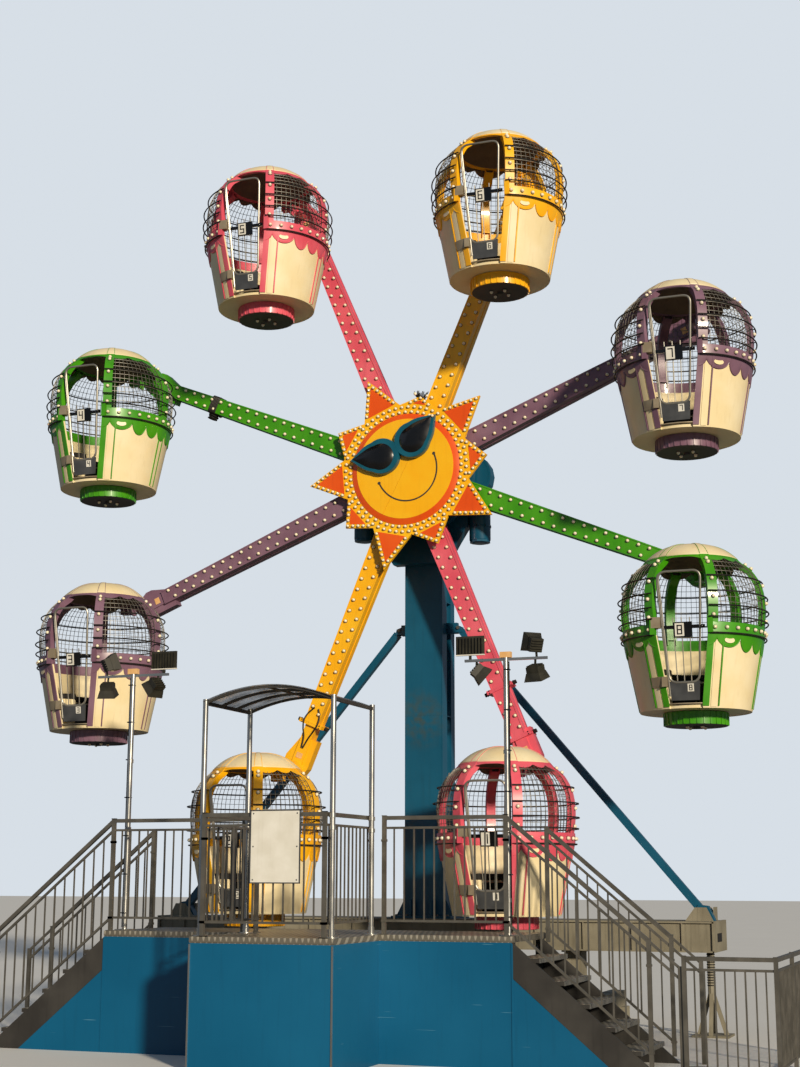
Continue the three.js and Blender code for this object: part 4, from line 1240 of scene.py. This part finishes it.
corners = [(x, y) for x in (-tower["halfX"], tower["halfX"]) for y in (-tower["halfY"], tower["halfY"])]
towerTrim = [post(x, y, 0.006, 1.38, 7.29) for x, y in corners]
towerTrim += [box(-0.257, 0.257, -0.252, 0.252, z, z + 0.008) for z in (2.4, 3.9, 5.4)]
towerTrim.append(box(-0.27, 0.27, -0.265, 0.265, tower["head"], 7.312))
foot = tower["foot"]
for x in (-0.2, 0.2):
    for side in (-1, 1):
        gusset = [(side * 0.256, foot), (side * 0.385, foot), (side * 0.256, 1.62)]
        towerTrim.append(slab(gusset, x - 0.008, x + 0.008))
for side in (-1, 1):
    flange = np.multiply(band(0.13, 0.145, 0, 0.2), (side, 1))
    towerTrim.append(slab(flange, 0.25, 0.375, origin=(0, 0, foot)))
addPiece("tower_trim", towerTrim, enamel["towerBlue"], "base")

footBolts = [(x, y) for x in (-0.34, -0.2, 0.2, 0.34) for y in (-0.33, 0.33)]
footBolts += [(x, y) for x in (-0.34, 0.34) for y in (-0.1, 0.1)]
towerBolts = [boltHeads([(x, y, 1.37) for x, y in footBolts], (0, 0, 1), 0.02, 0.02)]
for side in (-1, 1):  # the pins at both ends of each brace
    for x, y, z, radius in ((0.41, 0.075, 5.06, 0.022), (3.5, 0.085, 1.44, 0.024)):
        towerBolts.append(bar((side * x, -y, z), (side * x, y, z), ringOf(radius, 12)))
addPiece("tower_bolts", towerBolts, galvanised, "base")

# The base beam: stiffeners, end plates, brace shoes and jack threads

beam = {"half": 3.68, "side": 0.405, "low": 0.992, "high": 1.328, "jack": 3.56}
baseTrim = []
for x in np.arange(-3.3, 3.31, 0.6):
    if abs(x) > 0.45:
        baseTrim += [box(x - 0.006, x + 0.006, y, y + 0.025, 1.0, 1.33) for y in (-0.425, 0.4)]
for y in (-beam["side"], beam["side"]):
    for z in (beam["low"], beam["high"]):
        baseTrim.append(box(-beam["half"], beam["half"], y - 0.025, y + 0.025, z - 0.008, z + 0.008))
for side in (-1, 1):
    baseTrim.append(sideBox(side, 3.66, 3.692, -0.43, 0.43, 0.985, 1.345))
    for x in (3.38, 3.6):
        rib = [(side * x, 0.06), (side * x, 0.3), (side * (x + 0.012), 0.3), (side * (x + 0.012), 0.06)]
        baseTrim.append(slab(rib, 0.0, 0.16, up=(0, 1, 0), origin=(0, 0, 1.341)))
    shoe = [(side * 3.3, 1.341), (side * 3.64, 1.341), (side * 3.56, 1.5), (side * 3.42, 1.5)]
    baseTrim += [slab(shoe, y - 0.006, y + 0.006) for y in (-0.17, 0.17)]
for x in (-1.9, 1.9):
    baseTrim.append(box(x - 0.13, x + 0.13, -0.2, 0.2, 0.955, 0.99))
    for y in (-2.4, -1.6, 0.8, 1.6):
        baseTrim.append(box(x - 0.108, x + 0.108, y - 0.012, y + 0.012, 0.145, 0.366))
addPiece("base_trim", baseTrim, tanPaint, "base")
screws = []
for side in (-1, 1):
    for z in 0.58 + 0.03 * np.arange(13):
        thread = [(0.04, z), (0.052, z + 0.006), (0.052, z + 0.012), (0.04, z + 0.018)]
        screws.append(upright(thread, (side * beam["jack"], 0, 0)))
    screws.append(box(side * 3.6935 - 0.003, side * 3.6935 + 0.003, -0.25, 0.05, 1.1, 1.2))
addPiece("jack_threads", screws, darkWire, "base")
print("tower and base dressed")

# The deck: edge angle and corner beads; the stairs' treads and nosings

deckTop = 1.2703
deckEdge = [(-2.31, -4.2), (-0.62, -4.2), (-0.62, -5.47), (0.9, -5.47)]
deckEdge += [(0.9, -4.2), (2.31, -4.2), (2.31, -2.8), (-2.31, -2.8)]
edgeParts = []
for (x0, y0), (x1, y1) in zip(deckEdge[:-1], deckEdge[1:]):
    along = unit(np.array([x1 - x0, y1 - y0, 0.0]))
    out = np.cross(along, [0, 0, 1.0])
    a, b = np.array([x0, y0, 1.245]) + out * 0.003, np.array([x1, y1, 1.245]) + out * 0.003
    edgeParts.append(bar(a - along * 0.004, b + along * 0.004, rectOf(0.007, 0.052)))
addPiece("deck_edge", edgeParts, deckPlate, "base")

beads = [post(x, y, 0.008, 0.02, 1.2) for x, y in deckEdge[:6]]
addPiece("skirt_beads", beads[:2] + beads[4:], enamel["skirtBlue"], "base")
addPiece("bay_beads", beads[2:4], brightAlloy, "base")

stair = {"riser": 1.27 / 6, "run": 0.25, "near": -4.158, "far": -3.062}
treads, nosings = [], []
for side in (-1, 1):
    for i in range(1, 6):
        z, lip = 1.27 - i * stair["riser"], 2.33 + i * stair["run"]
        across = (stair["near"], stair["far"])
        treads.append(sideBox(side, 2.314 + (i - 1) * stair["run"], lip, *across, z + 0.0004, z + 0.0035))
        nosings.append(box(side * lip - 0.004, side * lip + 0.004, *across, z - 0.042, z + 0.004))
addPiece("stair_treads", treads, deckPlate, "base")
addPiece("stair_nosings", nosings, brightAlloy, "base")
print("deck dressed")

# The rails: the close uprights between the solids' own, clamps, caps, and a blank notice board

rails = {"top": 1.2, "second": 1.078, "bottom": 0.14, "pitch": 0.33, "line": -4.18}


def uprightsBetween(a, b, bottom, second):  # two between each pair that the solids have
    a, b = np.asarray(a, float), np.asarray(b, float)
    count = 3 * max(1, round(np.hypot(b[0] - a[0], b[1] - a[1]) / rails["pitch"]))
    share = np.arange(1, count) / count
    share = share[np.arange(1, count) % 3 != 0]
    feet = a + share[:, None] * (b - a)
    return boxesAt(feet + [0, 0, (bottom + second) / 2], [0.007, 0.007, (second - bottom) / 2])


def platesAt(points, height, halves):  # a flat block on every post: cap, clamp or foot
    return boxesAt(np.asarray(points, float) + [0, 0, height], halves)


def stringerFoot(x):  # height of the stair's edge
    return 1.21 - (x - 2.33) * (stair["riser"] / stair["run"]) + 0.0003


left, right, front = -0.515, 0.785, -5.41
z, y = deckTop, rails["line"]
runs = [
    ((left, -4.16, z), (left, front, z)),
    ((left, front, z), (right, front, z)),
    ((right, front, z), (right, -4.16, z)),
    ((-0.66, y, z), (-2.25, y, z)),
    ((0.94, y, z), (2.25, y, z)),
]
foot = 2.31 + 1.5 - 0.13
for side in (-1, 1):
    runs.append(((side * 2.25, y, z), (side * foot, y, stringerFoot(foot))))
    runs.append(((side * 2.37, -3.04, stringerFoot(2.37)), (side * foot, -3.04, stringerFoot(foot))))
railLooks = [uprightsBetween(a, b, rails["bottom"], rails["second"]) for a, b in runs]
ends = np.array([p for pair in runs for p in pair])
railLooks.append(platesAt(ends, rails["top"] + 0.003, [0.023, 0.023, 0.004]))
railLooks += [platesAt(ends, h, [0.026, 0.026, 0.012]) for h in (0.14, 0.95)]
railLooks.append(platesAt(ends[:10], 0.003, [0.045, 0.03, 0.004]))
fencePosts = [(4.0203, -4.2, 0.0), (4.89, -4.2, 0.0), (4.89, -3.0, 0.0), (4.89, -1.8, 0.0)]
railLooks += [uprightsBetween(a, b, 0.09, 0.988) for a, b in zip(fencePosts[:-1], fencePosts[1:])]
railLooks.append(platesAt(fencePosts, 1.11 + 0.003, [0.023, 0.023, 0.004]))
addPiece("rail_uprights", railLooks, galvanised, "base")

board = {"left": 0.01, "right": 0.54, "low": 1.79, "high": 2.49, "y": -5.447}
x0, x1, z0, z1, y = (board[key] for key in ("left", "right", "low", "high", "y"))
addPiece("notice_board", [box(x0, x1, y - 0.006, y, z0, z1)], whitePlate, "base")
screwSpots = np.array([(x, y - 0.006, h) for x in (0.04, 0.51) for h in (1.82, 2.14, 2.46)])
noticeTrim = [capsAt(screwSpots, forward, 0.008, 0.005, 0.002, 8, 2)]
noticeTrim += [box(x0 - 0.006, x1 + 0.006, y - 0.008, y + 0.001, h - 0.006, h + 0.006) for h in (z0, z1)]
noticeTrim += [box(x - 0.006, x + 0.006, y - 0.008, y + 0.001, z0, z1) for x in (x0, x1)]
addPiece("notice_trim", noticeTrim, greyPlate, "base")
print("rails dressed")

# The canopy: bright posts, four bows with their ties, and one smoked sheet bent over them

canopy = {
    "left": -0.57, "right": 0.84, "front": -5.35, "back": -4.29,
    "top": 3.62, "rise": 0.145, "post": 0.028, "bows": 4,
}


def archPoint(t, lift=0.0):  # a parabola from post to post
    x = canopy["left"] + (canopy["right"] - canopy["left"]) * t
    return x, canopy["top"] - 0.04 + canopy["rise"] * (1 - (2 * t - 1) ** 2) + lift


posts, frames = [], []
sides, ends = (canopy["left"], canopy["right"]), (canopy["front"], canopy["back"])
shoe = [(0.0, 1.2705), (0.075, 1.2705), (0.075, 1.282), (0.034, 1.284), (0.034, 1.35), (0.0, 1.35)]
for y in ends:
    for x in sides:
        posts.append(bar((x, y, deckTop), (x, y, canopy["top"]), ringOf(canopy["post"], 20), (0, 1, 0)))
        posts.append(upright(shoe, (x, y, 0), 24))
        posts += [upright(band(canopy["post"], 0.036, h, h + 0.04), (x, y, 0)) for h in (2.42, 2.3)]
x, h = archPoint(np.linspace(0, 1, 25))
for y in np.linspace(*ends, canopy["bows"]):
    frames.append(sweep(np.stack([x, np.full(25, y), h], -1), rectOf(0.026, 0.026), (0, 1, 0)))
frames += [bar((x, ends[0], 3.58), (x, ends[1], 3.58), rectOf(0.034, 0.034)) for x in sides]
x, h = archPoint(0.5, -0.008)
frames.append(bar((x, ends[0], h), (x, ends[1], h), rectOf(0.02, 0.018)))
addPiece("canopy_posts", posts, brightAlloy, "base", replaced=["canopy"])
addPiece("canopy_frames", frames, darkPaint, "base")
x, h = archPoint(np.linspace(-0.01, 1.01, 29))
y = np.array([[ends[0] - 0.04], [-4.82], [ends[1] + 0.04]])
upper, lower = (np.stack(np.broadcast_arrays(x, y, h + lift), -1) for lift in (0.021, 0.017))
sheetVerts, sheetFaces = shell(upper, lower)
addPiece("canopy_sheet", [(sheetVerts, flipped(sheetFaces))], smoked, "base", sharp=60)
print("canopy dressed")

# The lamp masts: tube, cross bar, three flood lamps turned their own ways, and a flat panel lamp

mast = {"x": 2.205, "y": -3.95, "top": 4.1103, "radius": 0.028, "reach": 0.45, "panel": -0.39}
floods = (
    ((0.305, 0.125), (-0.55, 0.6, 0.35)),
    ((0.325, -0.18), (0.08, 0.3, -0.9)),
    ((-0.283, -0.16), (0.65, 0.25, -0.6)),
)


def framed(loops, c, axes):  # square loops of (size, distance) along the lamp's own axes
    corners = np.array([(-1, -1), (1, -1), (1, 1), (-1, 1)], float)
    return np.concatenate([c + size * (corners @ axes[:2]) + far * axes[2] for size, far in loops])


def floodLamp(c, aim, barZ):  # housing with ribs, flared shade, glass and bracket
    a = unit(np.array(aim))
    s = unit(np.cross([0, 0, 1.0], a))
    axes = np.stack([s, np.cross(a, s), a])
    shade = framed([(0.076, -0.01), (0.102, 0.075), (0.097, 0.075), (0.07, -0.004)], c, axes)
    ribs = [c - a * 0.078 + axes[1] * k for k in (-0.056, -0.028, 0.0, 0.028, 0.056)]
    hold = (c[0] - 0.05 * a[0], mast["y"], barZ)
    housing = [
        boxesAt([c - a * 0.04], [0.072, 0.072, 0.032], axes[None]),
        (shade, flipped(gridFaces(4, 4, wrapRows=True, wrapCols=True).tolist())),
        boxesAt(ribs, [0.066, 0.004, 0.009], axes[None]),
        bar(c - a * 0.05, hold, rectOf(0.024, 0.008), (0.3, 1, 0.2)),
    ]
    return housing, boxesAt([c + a * 0.004], [0.068, 0.068, 0.003], axes[None])


for side, name in ((-1, "left"), (1, "right")):
    x, y, top, r = side * mast["x"], mast["y"], mast["top"], mast["radius"]
    tubes = [upright(band(0.0, r, deckTop, top), (x, y, 0)), post(x, y, 0.08, deckTop, deckTop + 0.012)]
    tubes.append(box(x - mast["reach"], x + mast["reach"], y - 0.013, y + 0.013, top - 0.04, top - 0.012))
    tubes += [upright(band(r, 0.035, h, h + 0.04), (x, y, 0)) for h in (1.6, 2.35, 3.1)]
    addPiece(f"mast_{name}_tube", tubes, brightAlloy, "base", replaced=[f"lamp_mast_{name}"])
    bodies, glasses = [], []
    for (out, up), aim in floods:
        centre, way = np.array([x + side * out, y, top + up]), (side * aim[0], *aim[1:])
        housing, glass = floodLamp(centre, way, top - 0.026)
        bodies += housing
        glasses.append(glass)
    px = x + side * mast["panel"]
    bodies.append(box(px - 0.155, px + 0.155, y - 0.014, y + 0.014, top + 0.032, top + 0.235))
    for rib in px - 0.14 + 0.035 * np.arange(9):
        bodies.append(box(rib - 0.003, rib + 0.003, y - 0.04, y - 0.014, top + 0.05, top + 0.22))
    bodies.append(post(px, y, 0.012, top - 0.03, top + 0.04))
    addPiece(f"mast_{name}_lamps", bodies, lampHousing, "base")
    glasses.append(box(px - 0.14, px + 0.14, y + 0.0145, y + 0.018, top + 0.045, top + 0.222))
    addPiece(f"mast_{name}_glass", glasses, lampCap, "base")
    edge = box(px - 0.158, px + 0.158, y - 0.016, y + 0.016, top + 0.03, top + 0.041)
    addPiece(f"mast_{name}_lip", [edge], whitePlate, "base")
    block = box(x - 0.06, x + 0.06, y - 0.028, y + 0.028, top - 0.008, top + 0.052)
    addPiece(f"mast_{name}_block", [block], amberAcrylic, "base")
    line = [(x + side * 0.034, y, h) for h in np.linspace(1.3, top - 0.05, 12)]
    cable = [sweep(line, ringOf(0.006, 6), (0, 1, 0))]
    for h in np.arange(1.45, 4.0, 0.42):
        cx = x + side * 0.012
        cable.append(box(cx - 0.031, cx + 0.031, y - 0.031, y + 0.031, h, h + 0.012))
    addPiece(f"mast_{name}_cable", cable, blackNylon, "base")
print("masts dressed")

# Finishes of the solids that stay in view

solidFinish = {
    "hub_ring": enamel["towerBlue"],
    "sun_face": enamel["sunYellow"],
    "drive_head": enamel["towerBlue"],
    "tower": enamel["towerBlue"],
    "brace_left": enamel["towerBlue"],
    "brace_right": enamel["towerBlue"],
    "base_frame": tanPaint,
    "deck": deckPlate,
    "deck_skirt": enamel["skirtBlue"],
    "stair_left": darkPaint,
    "stair_right": darkPaint,
}
for name, solid in nodes.items():
    if name.startswith("arm_"):
        finish = enamel[colours[int(name[4:]) - 1]]
    elif name.startswith("cab_"):
        finish = enamel[colours[int(name[4]) - 1]] if name.endswith("frame") else creamGelcoat
    else:
        finish = solidFinish.get(name, galvanised)
    solid.data.materials.clear()
    solid.data.materials.append(finish)
    solid.data.polygons.foreach_set("material_index", np.zeros(len(solid.data.polygons), np.int32))

# Floor, light and camera

# Pale studio floor: a large matt sheet, faintly uneven in tone, that throws little light back up
def floorFinish():
    material, tree, place = newMaterial("paleStudioFloor")
    grain = addNode(tree, "ShaderNodeTexNoise", {"Vector": place, "Scale": 0.6, "Detail": 3.0})
    tones = {"Factor": grain, "A": linear("#F0EFEC"), "B": linear("#F6F5F2")}
    pale = addNode(tree, "ShaderNodeMix", tones, data_type="RGBA")
    tones = {"Factor": addNode(tree, "ShaderNodeLightPath"), "A": linear("#7A7874"), "B": pale}
    inputs = {"Base Color": addNode(tree, "ShaderNodeMix", tones, data_type="RGBA"), "Roughness": 0.8}
    return finished(material, tree, inputs)


floorMesh = bpy.data.meshes.new("studioFloor")
floorMesh.from_pydata([(-90, -60, 0), (90, -60, 0), (90, 120, 0), (-90, 120, 0)], [], [(0, 1, 2, 3)])
floorMesh.materials.append(floorFinish())
floor = bpy.data.objects.new("studioFloor", floorMesh)
bpy.context.scene.collection.objects.link(floor)


def studioWorld():  # a pale backdrop to look at, and a dimmer, cooler light from all round
    world = bpy.data.worlds.new("studioWorld")
    world.use_nodes = True
    tree = world.node_tree
    tree.nodes.clear()
    light = addNode(tree, "ShaderNodeBackground", {"Color": linear("#C9DCF4"), "Strength": 0.2})
    backdrop = addNode(tree, "ShaderNodeBackground", {"Color": linear("#DCE4EC"), "Strength": 0.95})
    mixed = {0: addNode(tree, "ShaderNodeLightPath"), 1: light, 2: backdrop}
    addNode(tree, "ShaderNodeOutputWorld", {"Surface": addNode(tree, "ShaderNodeMixShader", mixed)})
    return world


bpy.context.scene.world = studioWorld()
bpy.context.scene.view_settings.view_transform = "Standard"


def addSun(name, direction, strength, softness, colour):
    light = bpy.data.lights.new(name, "SUN")
    light.energy = strength
    light.angle = math.radians(softness)
    light.color = linear(colour)[:3]
    lamp = bpy.data.objects.new(name, light)
    aim = unit(np.array(direction, float))
    lamp.rotation_euler = (math.acos(-aim[2]), 0, math.atan2(aim[0], -aim[1]) + math.pi)
    bpy.context.scene.collection.objects.link(lamp)


addSun("keyLight", (-0.65, 0.7, -0.29), 3.75, 4, "#FFF0D6")
addSun("fillLight", (0.75, 0.5, -0.35), 0.06, 40, "#DCE8FF")

camera = {
    "place": (7.0606, -20.4344, 1.847), "yaw": 0.35071, "pitch": 0.205894, "roll": -0.002084,
    "focal": 1645.98, "tall": 1067,
}
cameraData = bpy.data.cameras.new("photoCamera")
cameraData.sensor_fit = "AUTO"
cameraData.sensor_width = 36
cameraData.lens = 36 * camera["focal"] / camera["tall"]
cameraData.clip_end = 500
cameraObject = bpy.data.objects.new("photoCamera", cameraData)
cameraObject.location = camera["place"]
cameraObject.rotation_mode = "XYZ"
cameraObject.rotation_euler = (math.pi / 2 + camera["pitch"], camera["roll"], camera["yaw"])
bpy.context.scene.collection.objects.link(cameraObject)
bpy.context.scene.camera = cameraObject
